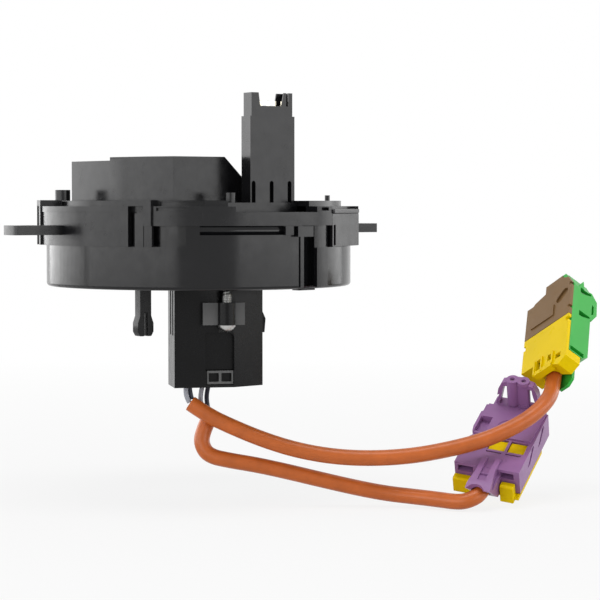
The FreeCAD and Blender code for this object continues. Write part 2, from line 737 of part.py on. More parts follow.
def make_side_box():
    inner_r = CASE_R - SIDE_BOX_DEPTH + SNUG_GAP
    low = SIDE_BOX_BOTTOM_Z + 0.1
    shell = block_of(hub_r, side_box_face, SIDE_BOX_NEAR, SIDE_BOX_FAR, low, SIDE_BOX_TOP_Z)
    shell = shell.cut(rod(inner_r, -FAR, FAR))
    reach = cover_rim_r + 5.0
    limit0 = side_near_deg + SIDE_GAP_DEG
    limit1 = side_far_deg - SIDE_GAP_DEG
    shell = shell.common(turned(sector(hub_r, reach, -FAR, FAR, limit0, limit1), -SIDE_BOX_DEG))
    window = block_of(
        side_box_face - 1.0, side_box_face + 1, SIDE_BOX_NEAR + 1.5, SIDE_BOX_NEAR + 3.6,
        SIDE_BOX_BOTTOM_Z + 0.6, band_low_z,
    )
    return turned(shell.cut(window), SIDE_BOX_DEG)


def side_lid_block(grow):
    face = side_box_face + SIDE_LID_PROUD
    low = SIDE_BOX_TOP_Z - (1.0 if grow else 0.0)
    top = SIDE_BOX_TOP_Z + SIDE_LID_THICK + (4.0 if grow else 0.0)
    return block_of(
        face - SIDE_LID_DEPTH - grow, face + 20 * grow, SIDE_BOX_NEAR - grow, SIDE_BOX_FAR + grow, low, top
    )


def make_side_lid():
    lid = side_lid_block(0.0).common(rod(side_lid_r, -FAR, FAR))
    return turned(lid, SIDE_BOX_DEG)


def make_outer_terminal():
    # the moulded bar that takes the cable's outer end to the tower pins
    wall_r = case_inner_r - SNUG_GAP
    top = COVER_Z - COVER_PLATE
    bar = block_of(-TERMINAL_HALF, pin_x(PIN_COUNT - 1) + 2.0, -wall_r, TOWER_Y + 2.5, top - 1.0, top)
    inner = ribbon_outer_r + RIBBON_THICK + FACE_GAP
    drop = block_of(-TERMINAL_HALF, TERMINAL_HALF, -wall_r, -inner, RIBBON_LOW_Z, top)
    body = join([bar, drop]).common(rod(wall_r, -FAR, FAR))
    for i in range(PIN_COUNT):
        body = body.cut(pin_solid(i, SNUG_GAP / 2.0, -FAR, FAR))
    return body


def make_rotor_hub():
    barrel = ring(BORE_R, hub_r, disc_low_z, hub_top_z)
    disc = ring(BORE_R, disc_r, disc_low_z, disc_top_z)
    body = join([barrel, disc])
    ring_z0 = cover_top_z + FACE_GAP
    groove = ring(hub_r - RETAINER_SINK, hub_r + 1, ring_z0, ring_z0 + RETAINER_SECTION)
    body = body.cut(groove)
    pitch = 360.0 / CORING_COUNT
    for i in range(CORING_COUNT):
        start = BLOCK_TURN + 24.0 + i * pitch
        end = start + pitch - 14.0
        coring = sector(hub_r + 4, disc_r - 4, disc_low_z - 1, disc_low_z + CORING_DEPTH, start, end)
        if i != CORING_COUNT - 2:
            body = body.cut(coring)
    return join([body, snap_hook()])


def snap_hook():
    top = disc_low_z + CORING_DEPTH + 0.6
    half = HOOK_WIDTH / 2.0
    wide = half + HOOK_BARB
    outline = [
        (-half, top), (-half, HOOK_BARB_Z + 2.6), (-wide, HOOK_BARB_Z), (-wide, HOOK_LOW_Z + 1.6),
        (-half, HOOK_LOW_Z), (half, HOOK_LOW_Z), (wide, HOOK_LOW_Z + 1.6), (wide, HOOK_BARB_Z),
        (half, HOOK_BARB_Z + 2.6), (half, top),
    ]
    stem = profile_y(outline, -HOOK_DEPTH / 2.0, HOOK_DEPTH / 2.0)
    slot = block_of(-HOOK_SLOT / 2, HOOK_SLOT / 2, -5, 5, HOOK_LOW_Z - 1, HOOK_BARB_Z + 3.6)
    return stem.cut(slot).translated(V(HOOK_X, HOOK_Y, 0))


def make_retainer():
    z0 = cover_top_z + FACE_GAP
    r_in = hub_r - RETAINER_SINK + RUN_GAP
    spring = ring(r_in, hub_r + RETAINER_REACH, z0 + RUN_GAP, z0 + RETAINER_SECTION - RUN_GAP)
    gap = block_of(0, FAR, -2.5, 2.5, z0 - 1, z0 + 5)
    return spring.cut(gap)


def make_magnet_ring():
    z0 = cover_top_z + FACE_GAP + RETAINER_SECTION
    return ring(hub_r + RUN_GAP, hub_r + MAGNET_WALL, z0, z0 + MAGNET_HEIGHT)


def make_ribbon():
    # a flat cable wound as half circles about two centres, so that each turn steps out by one pitch
    z0 = RIBBON_LOW_Z
    inner_edges = []
    outer_edges = []
    halves = 2 * RIBBON_TURNS
    for i in range(halves):
        r = ribbon_inner_r + i * ribbon_pitch / 2.0
        cx = 0.0 if i % 2 == 0 else ribbon_pitch / 2.0
        up = 1 if i % 2 == 0 else -1
        for edges, radius in ((inner_edges, r), (outer_edges, r + RIBBON_THICK)):
            a = V(cx + up * radius, 0, z0)
            m = V(cx, up * radius, z0)
            b = V(cx - up * radius, 0, z0)
            edges.append(Part.Arc(a, m, b).toShape())
    start = Part.LineSegment(outer_edges[0].Vertexes[0].Point, inner_edges[0].Vertexes[0].Point).toShape()
    end = Part.LineSegment(inner_edges[-1].Vertexes[-1].Point, outer_edges[-1].Vertexes[-1].Point).toShape()
    wire = Part.Wire(Part.__sortEdges__(inner_edges + outer_edges + [start, end]))
    return turned(Part.Face(wire).extrude(V(0, 0, RIBBON_WIDTH)), TERMINAL_DEG)


def make_slip_sheet():
    return ring(hub_r + RUN_GAP, disc_r - FACE_GAP, disc_top_z, disc_top_z + SLIP_SHEET_THICK)


def make_inner_terminal():
    # the holder that clamps the cable's inner end to the hub
    reach = ribbon_inner_r - SNUG_GAP
    holder = block_of(hub_r - 2, reach, -6.0, 6.0, disc_top_z + 1, RIBBON_LOW_Z + RIBBON_WIDTH)
    holder = holder.cut(rod(hub_r + RUN_GAP, -FAR, FAR)).common(rod(reach, -FAR, FAR))
    return turned(holder, TERMINAL_DEG)


def block_outline():
    return [
        (BLOCK_LEFT, BLOCK_FRONT),
        (BLOCK_FACET_X, BLOCK_FRONT),
        (BLOCK_RIGHT, BLOCK_FACET_Y),
        (BLOCK_RIGHT, BLOCK_REAR),
        (BLOCK_LEFT, BLOCK_REAR),
    ]


def make_block():
    z0 = block_low_z
    z1 = disc_low_z
    outline = Part.makePolygon([V(x, y, z0) for x, y in block_outline() + block_outline()[:1]])
    outer = Part.Face(outline).extrude(V(0, 0, z1 - z0)).cut(rod(block_rear_r, z0 - 1, z1 + 1))
    inner_wire = outline.makeOffset2D(-BLOCK_WALL, 2)
    inner = Part.Face(inner_wire).extrude(V(0, 0, BLOCK_HEIGHT - BLOCK_WALL))
    inner = inner.cut(rod(block_rear_r + BLOCK_WALL, z0 - 1, z1 + 1))
    # the wall is thicker behind the sunk panel and the screw boss
    keep = block_of(RECESS_LEFT - 2.0, BLOCK_FACET_X + 3, BLOCK_FRONT, BLOCK_FRONT + thick_wall, z0, z1)
    inner = inner.cut(keep)
    body = outer.cut(inner)

    boss_y = BLOCK_FRONT - BOSS_PLATE_DEPTH
    plate = block_of(
        BOSS_X - BOSS_PLATE_HALF - 1, BOSS_X + BOSS_PLATE_HALF - 1, boss_y, BLOCK_FRONT + 0.5,
        BOSS_LOW_Z, BOSS_TOP_Z,
    )
    barrel = rod(BOSS_R, BOSS_LOW_Z, BOSS_TOP_Z, BOSS_X, boss_y)
    latch = profile_y(
        [(BLOCK_RIGHT - 0.5, -31.0), (BLOCK_RIGHT, -31.0), (BLOCK_RIGHT + 1.3, -34.0),
         (BLOCK_RIGHT + 0.9, -39.0), (BLOCK_RIGHT - 0.5, -39.0)],
        BLOCK_FACET_Y + 1.0, BLOCK_FACET_Y + 5.0,
    )
    body = join([body, plate, barrel, latch])

    recess = block_of(
        RECESS_LEFT, BLOCK_FACET_X, BLOCK_FRONT - 1, BLOCK_FRONT + RECESS_DEPTH, RECESS_LOW_Z, RECESS_TOP_Z
    )
    corner = [e for e in recess.Edges if abs(e.BoundBox.XMin - BLOCK_FACET_X) < 0.01
              and abs(e.BoundBox.ZMin - RECESS_TOP_Z) < 0.01 and e.BoundBox.XLength < 0.01]
    recess = recess.makeFillet(2.4, corner)
    body = body.cut(recess)
    body = body.cut(rod(SCREW_R + RUN_GAP, BOSS_LOW_Z - 1, BOSS_TOP_Z + 1, BOSS_X, boss_y))
    body = body.cut(rod(SCREW_HEAD_R + FACE_GAP, RECESS_TOP_Z - 0.1, BOSS_LOW_Z, BOSS_X, boss_y))

    # two upright slots in the left flank, and the seat of the terminal keeper
    for y0 in (BLOCK_FRONT + 3.0, BLOCK_FRONT + 8.5):
        body = body.cut(block_of(BLOCK_LEFT - 1, BLOCK_LEFT + 1.0, y0, y0 + 2.6, -39.5, z1 + 1))
    half = KEEPER_WIDTH / 2.0 + SNUG_GAP
    body = body.cut(block_of(
        keeper_x - half, keeper_x + half, BLOCK_FRONT - 1, BLOCK_FRONT + thick_wall + 2,
        KEEPER_Z - KEEPER_HEIGHT / 2 - SNUG_GAP, KEEPER_Z + KEEPER_HEIGHT / 2 + SNUG_GAP,
    ))
    return turned(body, BLOCK_TURN)


def make_keeper():
    half = KEEPER_WIDTH / 2.0
    y0 = BLOCK_FRONT + 0.4
    body = block_of(
        keeper_x - half, keeper_x + half, y0, BLOCK_FRONT + thick_wall, KEEPER_Z - KEEPER_HEIGHT / 2,
        KEEPER_Z + KEEPER_HEIGHT / 2,
    )
    for x0 in (keeper_x - half + 0.7, keeper_x + 0.5):
        body = body.cut(block_of(x0, x0 + 3.6, y0 - 1, y0 + 1.9, KEEPER_Z - 1.5, KEEPER_Z + 1.5))
    return turned(body, BLOCK_TURN)


def make_block_insert():
    # the terminal carrier inside the block, where the leads' wires start
    z0 = block_low_z + INSERT_RISE
    z1 = disc_low_z - BLOCK_WALL - FACE_GAP
    outline = Part.makePolygon([V(x, y, z0) for x, y in block_outline() + block_outline()[:1]])
    inner = outline.makeOffset2D(-BLOCK_WALL - SNUG_GAP, 2)
    body = Part.Face(inner).extrude(V(0, 0, z1 - z0))
    body = body.cut(rod(block_rear_r + BLOCK_WALL + SNUG_GAP, z0 - 1, z1 + 1))
    body = body.cut(block_of(
        RECESS_LEFT - 2.0 - SNUG_GAP, BLOCK_FACET_X + 3 + SNUG_GAP, BLOCK_FRONT,
        BLOCK_FRONT + thick_wall + SNUG_GAP, z0 - 1, z1 + 1,
    ))
    return turned(body, BLOCK_TURN)


def make_screw():
    y = BLOCK_FRONT - BOSS_PLATE_DEPTH
    shank = rod(SCREW_R, BOSS_LOW_Z, SCREW_TOP_Z, BOSS_X, y)
    tip = Part.makeCone(SCREW_R, 0.9, 0.9, V(BOSS_X, y, SCREW_TOP_Z))
    height = SCREW_HEAD_HEIGHT
    ball_r = (SCREW_HEAD_R ** 2 + height ** 2) / (2 * height)
    ball = Part.makeSphere(ball_r, V(BOSS_X, y, BOSS_LOW_Z - height + ball_r))
    head = ball.common(block_of(BOSS_X - 5, BOSS_X + 5, y - 5, y + 5, BOSS_LOW_Z - height, BOSS_LOW_Z))
    body = join([shank, tip, head])
    for deg in (0, 90):
        cross = block_of(-1.8, 1.8, -0.4, 0.4, BOSS_LOW_Z - height - 1, BOSS_LOW_Z - height + 1.3)
        body = body.cut(turned(cross, deg).translated(V(BOSS_X, y, 0)))
    return turned(body, BLOCK_TURN)


def a_frame(shape):
    return placed(shape, A_ACROSS, A_ALONG, A_CORNER)


def b_frame(shape):
    return placed(shape, B_ACROSS, B_ALONG, B_CORNER)


def a_top_outline():
    # the face's far end, seen from the front: a shoulder, a step and a slanted corner
    return [
        (A_WIDTH, A_LENGTH),
        (A_PEAK_X, A_LENGTH + A_PEAK_RISE),
        (A_STEP_X, A_LENGTH + A_STEP_RISE),
        (A_STEP_X, A_LENGTH + A_SHOULDER),
        (A_NOTCH_X, A_LENGTH + A_NOTCH_RISE),
        (A_NOTCH_X - 1.0, A_LENGTH),
        (0.0, A_LENGTH),
    ]


def a_outline(low):
    return [(0.0, low), (A_WIDTH, low)] + a_top_outline()


def a_posts(grow):
    # two legs of the lock that run in pockets of the body; the pockets leave room for its travel
    half = 1.5 + grow
    back = A_PLATE + 4.0 + grow
    low = A_POST_Z - grow - (LOCK_TRAVEL if grow else 0.0)
    return [
        block_of(x - half, x + half, A_PLATE - FACE_GAP, back, low, A_POST_Z + 4.5 + grow)
        for x in (A_POST_INSET, A_WIDTH - A_POST_INSET)
    ]


def a_mouth_centre():
    return (A_WIDTH + A_STEP_X) / 2.0 - 1.0, (A_PLATE + A_BACK) / 2.0


def make_a_housing():
    body = profile_y(a_outline(A_SEAT_Z), A_PLATE, A_BACK)
    # the side wall runs on past the cord end, with its far corner bevelled
    shroud = profile_x(
        [(A_PLATE, A_SEAT_Z + 1.0), (A_PLATE, 0.0), (A_BACK - 2.6, 0.0), (A_BACK, 2.2),
         (A_BACK, A_SEAT_Z + 1.0)],
        A_WIDTH - A_SHROUD, A_WIDTH,
    )
    # the far end is hollow: the mouth that the mating part enters
    mouth_x, mouth_y = a_mouth_centre()
    half_w = A_MOUTH_WIDTH / 2.0
    half_h = A_MOUTH_HEIGHT / 2.0
    mouth = block_of(
        mouth_x - half_w, mouth_x + half_w, mouth_y - half_h, mouth_y + half_h,
        A_LENGTH - A_MOUTH_DEPTH, A_LENGTH + A_PEAK_RISE + 1,
    )
    mouth = mouth.common(profile_y(a_outline(0.0), 0, A_BACK).translated(V(-1.4, 0, 0)))
    # latch arm on the back, thickest at its far part and freed by a slot at each end
    top = A_BACK + A_ARM_PROUD
    arm = profile_x(
        [(A_BACK - 1.0, A_ARM_LOW), (A_BACK + 0.8, A_ARM_LOW), (top, A_ARM_LOW + 4.2),
         (top - 0.3, A_ARM_HIGH - 2.0), (A_BACK, A_ARM_HIGH + 0.8), (A_BACK - 1.0, A_ARM_HIGH + 0.8)],
        A_WIDTH - A_ARM_WIDTH, A_WIDTH,
    )
    fin = profile_x(
        [(3.6, A_LENGTH - 1.0), (3.6, A_LENGTH + 0.2), (6.2, A_LENGTH + 4.4), (6.8, A_LENGTH + 0.2),
         (6.8, A_LENGTH - 1.0)],
        A_WIDTH - 1.4, A_WIDTH,
    )
    tail_x1 = A_CORD_X + A_TAIL_WIDTH
    tail = profile_y(
        [(A_CORD_X - 0.2, A_SEAT_Z + 1), (A_CORD_X - 0.2, -A_TAIL_REACH), (tail_x1 - 2.2, -A_TAIL_REACH),
         (tail_x1, -A_TAIL_REACH + 2.4), (tail_x1, A_SEAT_Z + 1)],
        A_BACK - A_TAIL_WALL, A_BACK,
    )
    body = join([body.cut(mouth), shroud, arm, fin, tail])
    for z0 in (A_ARM_LOW, A_ARM_HIGH - A_ARM_SLOT):
        slot = block_of(A_WIDTH - 2.4, A_WIDTH + 1, A_BACK - A_ARM_FREE, A_BACK - 0.4, z0, z0 + A_ARM_SLOT)
        body = body.cut(slot)
    groove = block_of(A_WIDTH - 0.7, A_WIDTH + 1, A_PLATE + 0.8, A_BACK - 2.4, 0.9, 1.9)
    body = body.cut(groove)
    for post in a_posts(SLIDE_GAP):
        body = body.cut(post)
    for contact in a_contact_pair(SNUG_GAP):
        body = body.cut(contact)
    return a_frame(body)


def a_contact_pair(grow):
    # two round contacts that stand in the mouth, with their feet in its floor
    mouth_x, mouth_y = a_mouth_centre()
    floor = A_LENGTH - A_MOUTH_DEPTH
    return [
        rod(CONTACT_R + grow, floor - 3.0, floor + 7.0, mouth_x + side * A_CONTACT_PITCH / 2.0, mouth_y)
        for side in (-1, 1)
    ]


def make_a_contacts():
    return a_frame(Part.makeCompound(a_contact_pair(0.0)))


def make_a_cover():
    body = profile_y(a_outline(A_SPLIT + FACE_GAP), 0, A_PLATE)
    # a shallow raised line that turns the corner, an oval sunk patch and two notches in the edge
    line_z = A_SPLIT + 4.2
    line_x = 15.3
    line = join([
        block_of(3.2, line_x, -0.25, FACE_GAP, line_z, line_z + 0.6),
        block_of(line_x - 0.6, line_x, -0.25, FACE_GAP, line_z, line_z + 5.0),
    ])
    oval = join([
        block_of(-1.5, 1.5, -1, 0.5, -1.6, 1.6),
        Part.makeCylinder(1.5, 1.5, V(0, -1, -1.6), V(0, 1, 0)),
        Part.makeCylinder(1.5, 1.5, V(0, -1, 1.6), V(0, 1, 0)),
    ])
    oval.rotate(V(0, 0, 0), V(0, 1, 0), 50)
    oval.translate(V(19.2, 0, A_SPLIT + 12.2))
    body = join([body, line]).cut(oval)
    for z0 in (A_SPLIT + 3.4, A_LENGTH - 1.0):
        body = body.cut(block_of(A_WIDTH - 1.0, A_WIDTH + 1, -1, A_PLATE + 1, z0, z0 + 1.3))
    return a_frame(body)


def make_a_lock():
    # the front plate, cut back beside the cord and drawn to a toe on the right
    reach = LEAD_D / 2.0 + A_CORD_ROOM
    left_x = A_CORD_X - reach
    right_x = A_CORD_X + reach
    plate = profile_y(
        [(0, A_FOOT_Z), (left_x, A_FOOT_Z), (left_x, A_COLLAR_Z), (right_x, A_COLLAR_Z), (A_TOE_X, A_TOE_Z),
         (A_WIDTH, A_HEEL_Z), (A_WIDTH, A_SPLIT), (0, A_SPLIT)],
        0, A_PLATE - SLIDE_GAP / 2,
    )
    # the end frame: a foot left of the cord, a collar round its front and a toe right of it
    left = block_of(0, left_x, 0, A_BACK, A_FOOT_Z, A_SEAT_Z - FACE_GAP)
    collar = block_of(left_x, right_x, 0, A_CORD_Y, A_COLLAR_Z, A_COLLAR_Z + A_COLLAR_WALL)
    collar = collar.cut(rod(reach, A_COLLAR_Z - 1, 5, A_CORD_X, A_CORD_Y))
    toe = profile_y(
        [(right_x, A_COLLAR_Z), (A_TOE_X, A_TOE_Z), (A_WIDTH, A_HEEL_Z), (A_WIDTH, -FACE_GAP),
         (right_x, -FACE_GAP)],
        0, A_TOE_BACK,
    )
    body = join([plate, left, collar, toe] + a_posts(0.0))
    # openings where the plate meets the end frame, and the two notches at the plate's edges
    openings = (
        (left_x + 0.4, left_x + 2.9, A_COLLAR_Z + 0.6, 1.2, A_CORD_Y - 1.0),
        (A_CORD_X + 3.0, A_CORD_X + 4.8, -1.2, 1.2, 3.2),
        (A_TOE_X - 1.4, A_TOE_X + 1.0, -2.6, -0.8, 3.2),
    )
    for x0, x1, z0, z1, depth in openings:
        body = body.cut(block_of(x0, x1, -1, depth, z0, z1))
    notches = ((-1, 1.0, 12.6, 15.0), (A_WIDTH - 1.6, A_WIDTH + 1, 14.6, 16.3))
    for x0, x1, z0, z1 in notches:
        body = body.cut(block_of(x0, x1, -1, A_PLATE + 1, z0, z1))
    return a_frame(body)


def b_windows(grow):
    # the two blocks of the lock that show in the face, or the room they need to slide behind it
    travel = LOCK_TRAVEL if grow else 0.0
    return [
        block_of(x0 - grow, x1 + grow, B_FACE + SLIDE_GAP - grow, B_DEPTH + B_PLATE_GAP + 0.2,
                 B_WINDOW_LOW - grow - travel, B_WINDOW_HIGH + grow)
        for x0, x1 in B_WINDOWS
    ]


def make_b_housing():
    notch = B_PROUD_FROM + 1.0
    outline = [
        (0, 0), (B_WIDTH, 0), (B_WIDTH, B_LENGTH), (0.6, B_LENGTH), (0.6, B_LENGTH - 4.0),
        (0, B_LENGTH - 4.6), (0, notch + 3.0), (0.5, notch + 0.4), (1.6, notch), (1.6, notch - 1.2),
        (0, notch - 3.6),
    ]
    body = profile_y(outline, 0, B_DEPTH)
    proud = profile_y(
        [(1.6, B_PROUD_FROM), (B_WIDTH - 1.2, B_PROUD_FROM), (B_WIDTH - 0.6, B_LENGTH), (1.6, B_LENGTH)],
        -B_PROUD, 1.0,
    )
    body = join([body, proud, b_strain_relief(), b_head()] + [b_arm(side) for side in (-1, 1)])

    # pocket on the left, ring mark in the middle and the slanted clips of the right flank
    body = body.cut(block_of(1.0, 4.9, -2, 0.8, B_PROUD_FROM + 1.0, B_PROUD_FROM + 10.0))
    mark = Part.makeCylinder(B_MARK_R, 1.0, V(B_MARK_X, -1.4, B_MARK_Z), V(0, 1, 0))
    mark = mark.cut(Part.makeCylinder(B_MARK_R - 0.6, 3.0, V(B_MARK_X, -2.0, B_MARK_Z), V(0, 1, 0)))
    body = body.cut(mark)
    for z0 in (14.5, 26.5):
        flank = profile_x(
            [(0.6, z0), (1.6, z0 - 0.4), (5.4, z0 - 5.2), (5.4, z0 - 2.6), (1.6, z0 + 2.4), (0.6, z0 + 2.4)],
            B_WIDTH - 0.9, B_WIDTH + 1,
        )
        body = body.cut(flank)
    # recesses in the cord end, where the lock's tabs lie, then the lock's windows
    for x0, x1 in ((1.2, B_CORD_X - B_RELIEF_HALF - 1.2), (B_CORD_X + B_RELIEF_HALF, B_WIDTH - 2.2)):
        body = body.cut(block_of(x0, x1, 1.2, 3.8, -1, 3.4))
    for room in b_windows(SLIDE_GAP):
        body = body.cut(room)
    for x0, x1 in B_WINDOWS:
        body = body.cut(block_of(x0, x1, -1, B_FACE + SLIDE_GAP, B_WINDOW_LOW, B_WINDOW_HIGH))
        body = body.cut(block_of(x0, x1 - 0.6, -1, 0.9, B_WINDOW_LOW - 1.6, B_WINDOW_LOW - 0.9))
    for contact in b_contact_pair(SNUG_GAP, 3.0):
        body = body.cut(contact)
    return b_frame(body)


def b_strain_relief():
    # a ridge that widens towards the arched mouth round the cord
    reach = B_RELIEF_REACH
    ridge = profile_x(
        [(-0.9, 4.6), (-0.9, -1.0), (-0.3, -reach + 3.0), (0.6, -reach), (B_DEPTH, -B_CORD_END + 1.0),
         (B_DEPTH, 4.6)],
        B_CORD_X - B_RELIEF_HALF, B_CORD_X + B_RELIEF_HALF,
    )
    for side in (-1, 1):
        near = B_CORD_X + side * (B_RELIEF_HALF - 1.1)
        wide = B_CORD_X + side * B_RELIEF_HALF
        clear = wide + 2.0 * side
        flare = profile_y(
            [(near, 6.0), (near, -3.0), (wide, -reach + 2.0), (clear, -reach + 2.0), (clear, 6.0)], -2.0, 2.2
        )
        ridge = ridge.cut(flare)
    groove = block_of(B_CORD_X - 1.5, B_CORD_X + 1.5, -2, 0.1, -4.0, 6.0)
    # the arch over the cord, wide enough for the angle at which the cord comes in
    narrow = LEAD_D / 2 + FACE_GAP
    low = V(B_CORD_X, B_CORD_Y, -reach - 1.0)
    arch = Part.makeCone(narrow + 0.9, narrow, reach - B_CORD_END + 1.0, low, Z_AXIS)
    return ridge.cut(groove).cut(arch)


def b_head():
    # the mating head: a block with two round ends that stands up from the body's far end
    z_mid = (B_HEAD_LOW + B_HEAD_HIGH) / 2.0
    radius = (B_HEAD_HIGH - B_HEAD_LOW) / 2.0
    foot = block_of(3.0, B_WIDTH - 2.6, 0, B_DEPTH - 1.0, B_LENGTH - 1, B_HEAD_HIGH)
    offset = B_HEAD_HALF - radius
    pillars = [
        Part.makeCylinder(radius, B_HEAD_HEIGHT + 1, V(x, -B_HEAD_HEIGHT, z_mid), V(0, 1, 0))
        for x in (B_HEAD_X - offset, B_HEAD_X + offset)
    ]
    web = block_of(B_HEAD_X - 2.2, B_HEAD_X + 2.2, -B_HEAD_HEIGHT, 1, z_mid - 0.2, B_HEAD_HIGH - 0.4)
    return join([foot, web] + pillars)


def b_arm(side):
    # a spring arm beside the head, held at the head's top and free at its hook
    top = -B_HEAD_HEIGHT + 1.0
    points = [
        (4.6, top), (6.0, top + 0.5), (7.4, -7.0), (8.0, -3.9), (7.2, -4.4), (8.8, 0.6), (7.4, 0.6),
        (5.7, -6.6), (5.5, top + 2.0), (3.6, top + 1.6), (3.6, top),
    ]
    corners = [V(B_HEAD_X + side * x, y, B_HEAD_LOW + 1.0) for x, y in points]
    face = Part.Face(Part.makePolygon(corners + corners[:1]))
    return face.extrude(V(0, 0, B_HEAD_HIGH - B_HEAD_LOW - 1.6))


def b_contact_pair(grow, over):
    z_mid = (B_HEAD_LOW + B_HEAD_HIGH) / 2.0
    start = -B_HEAD_HEIGHT + 1.0 - over
    offset = B_HOLE_PITCH / 2.0
    return [
        Part.makeCylinder(CONTACT_R + grow, 8.0 + over, V(x, start, z_mid), V(0, 1, 0))
        for x in (B_HEAD_X - offset, B_HEAD_X + offset)
    ]


def make_b_contacts():
    return b_frame(Part.makeCompound(b_contact_pair(0.0, 0.0)))


def make_b_lock():
    y0 = B_DEPTH + B_PLATE_GAP
    y1 = y0 + B_PLATE
    half = B_RELIEF_HALF + FACE_GAP + 0.1
    plate = block_of(0, B_WIDTH, y0, y1, -2.0, B_PLATE_END)
    corners = [e for e in plate.Edges if e.BoundBox.YLength > 1 and e.BoundBox.ZMin > B_PLATE_END - 1]
    plate = plate.makeFillet(2.0, corners)
    # two tabs that stand round the cord's end, with a rounded upper edge
    tabs = []
    for x0, x1, back in ((0, B_CORD_X - half - 0.6, y1), (B_CORD_X + half, B_WIDTH - 1.6, y1 + 0.8)):
        tab = block_of(x0, x1, B_TAB_FROM, back, -B_TAB_REACH, -FACE_GAP)
        edge = [e for e in tab.Edges if e.BoundBox.XLength > 1 and e.BoundBox.YMax < B_TAB_FROM + 0.1
                and e.BoundBox.ZMax < -1.0]
        tabs.append(tab.makeFillet(1.0, edge))
    under = block_of(B_CORD_X - half, B_CORD_X + half, y0 - 1, y1 + 1, -3.0, -1.0)
    return b_frame(join([plate.cut(under)] + tabs + b_windows(0.0)))


def build():
    housing, housing_inner = make_sensor_housing()
    cover = make_cover()
    for passage in pin_passages():
        cover = cover.cut(passage)
    return {
        "case": make_case(),
        "cover": cover,
        "sensor_housing": housing,
        "sensor_board": make_sensor_board(housing_inner),
        "connector_tower": make_tower(),
        "tower_pins": make_tower_pins(),
        "side_box": make_side_box(),
        "side_box_lid": make_side_lid(),
        "outer_terminal": make_outer_terminal(),
        "rotor_hub": make_rotor_hub(),
        "retaining_ring": make_retainer(),
        "magnet_ring": make_magnet_ring(),
        "flat_cable": make_ribbon(),
        "slip_sheet": make_slip_sheet(),
        "inner_terminal": make_inner_terminal(),
        "wheel_block": make_block(),
        "block_keeper": make_keeper(),
        "block_insert": make_block_insert(),
        "lock_screw": make_screw(),
        "lead_a_sleeve": tube(LEAD_A_ROUTE, LEAD_D, "lead A sleeve"),
        "lead_b_sleeve": tube(LEAD_B_ROUTE, LEAD_D, "lead B sleeve"),
        "wire_loop": tube(WIRE_LOOP_ROUTE, WIRE_D, "looped wire"),
        "wire_blue": tube(WIRE_BLUE_ROUTE, WIRE_D, "blue wire"),
        "wire_grey": tube(WIRE_GREY_ROUTE, WIRE_D, "grey wire"),
        "wire_black": tube(WIRE_BLACK_ROUTE, WIRE_D, "black wire"),
        "a_housing": make_a_housing(),
        "a_cover": make_a_cover(),
        "a_lock": make_a_lock(),
        "a_contacts": make_a_contacts(),
        "b_housing": make_b_housing(),
        "b_lock": make_b_lock(),
        "b_contacts": make_b_contacts(),
    }


os.makedirs("parts", exist_ok=True)
for node, shape in build().items():
    shape.exportStep(f"parts/{node}.step")
    print(f"{node}: {len(shape.Solids)} solid(s), valid {shape.isValid()}, volume {shape.Volume:.1f}")
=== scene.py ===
import json
import math
from contextlib import contextmanager

import bmesh
import bpy
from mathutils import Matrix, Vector


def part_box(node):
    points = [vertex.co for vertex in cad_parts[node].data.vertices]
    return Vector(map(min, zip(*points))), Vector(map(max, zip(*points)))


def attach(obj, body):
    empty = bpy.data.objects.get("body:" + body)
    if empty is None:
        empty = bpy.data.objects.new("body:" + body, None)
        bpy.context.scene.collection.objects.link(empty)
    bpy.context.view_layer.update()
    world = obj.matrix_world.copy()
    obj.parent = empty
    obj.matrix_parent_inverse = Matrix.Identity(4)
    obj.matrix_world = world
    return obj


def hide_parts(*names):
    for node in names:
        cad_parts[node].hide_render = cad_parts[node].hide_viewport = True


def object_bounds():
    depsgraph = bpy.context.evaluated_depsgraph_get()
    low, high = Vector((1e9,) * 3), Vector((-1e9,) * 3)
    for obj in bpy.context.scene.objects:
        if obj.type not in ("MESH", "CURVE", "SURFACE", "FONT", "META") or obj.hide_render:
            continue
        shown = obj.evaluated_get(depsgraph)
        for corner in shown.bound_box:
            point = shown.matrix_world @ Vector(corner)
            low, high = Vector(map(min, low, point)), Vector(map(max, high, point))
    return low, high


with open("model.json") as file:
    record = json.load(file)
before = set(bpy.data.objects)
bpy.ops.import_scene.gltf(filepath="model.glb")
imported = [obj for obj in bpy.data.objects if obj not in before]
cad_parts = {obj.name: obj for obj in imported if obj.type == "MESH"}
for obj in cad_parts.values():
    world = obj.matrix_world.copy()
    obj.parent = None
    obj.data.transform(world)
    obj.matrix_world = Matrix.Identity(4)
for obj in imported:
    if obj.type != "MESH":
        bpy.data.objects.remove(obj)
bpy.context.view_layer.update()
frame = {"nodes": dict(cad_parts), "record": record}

MM = 0.001

# The photograph's view: the camera looks along a line turned about Z
CAMERA_TURN = math.radians(-29.3)
CAMERA_DISTANCE = 0.780
CAMERA_HEIGHT = 0.0082
CAMERA_AIM = (0.0326, -0.0183, -0.0281)
CAMERA_LENS = 126.4
CAMERA_SENSOR = 36.0
CAMERA_NEAR = 0.01

# Lights: name, degrees to the right of the camera and up, distance and size in metres, power in watts
LIGHTS = [
    ("key", -54.0, 12.0, 1.5, (2.3, 0.76), 14.3),
    ("fill", 60.0, 12.0, 1.5, (2.0, 0.76), 11.5),
    ("rim_left", -122.0, 12.0, 1.5, (1.6, 0.76), 10.0),
    ("rim_right", 117.0, 12.0, 1.5, (1.0, 0.76), 4.5),
    ("top", 0.0, 78.0, 1.2, (0.9, 0.5), 7.0),
]
LIGHTS_AIM = (0.03, -0.02, -0.03)
WHITE = (1.0, 1.0, 1.0, 1.0)
WORLD_LIGHT = 0.27
WORLD_SEEN = 1.0

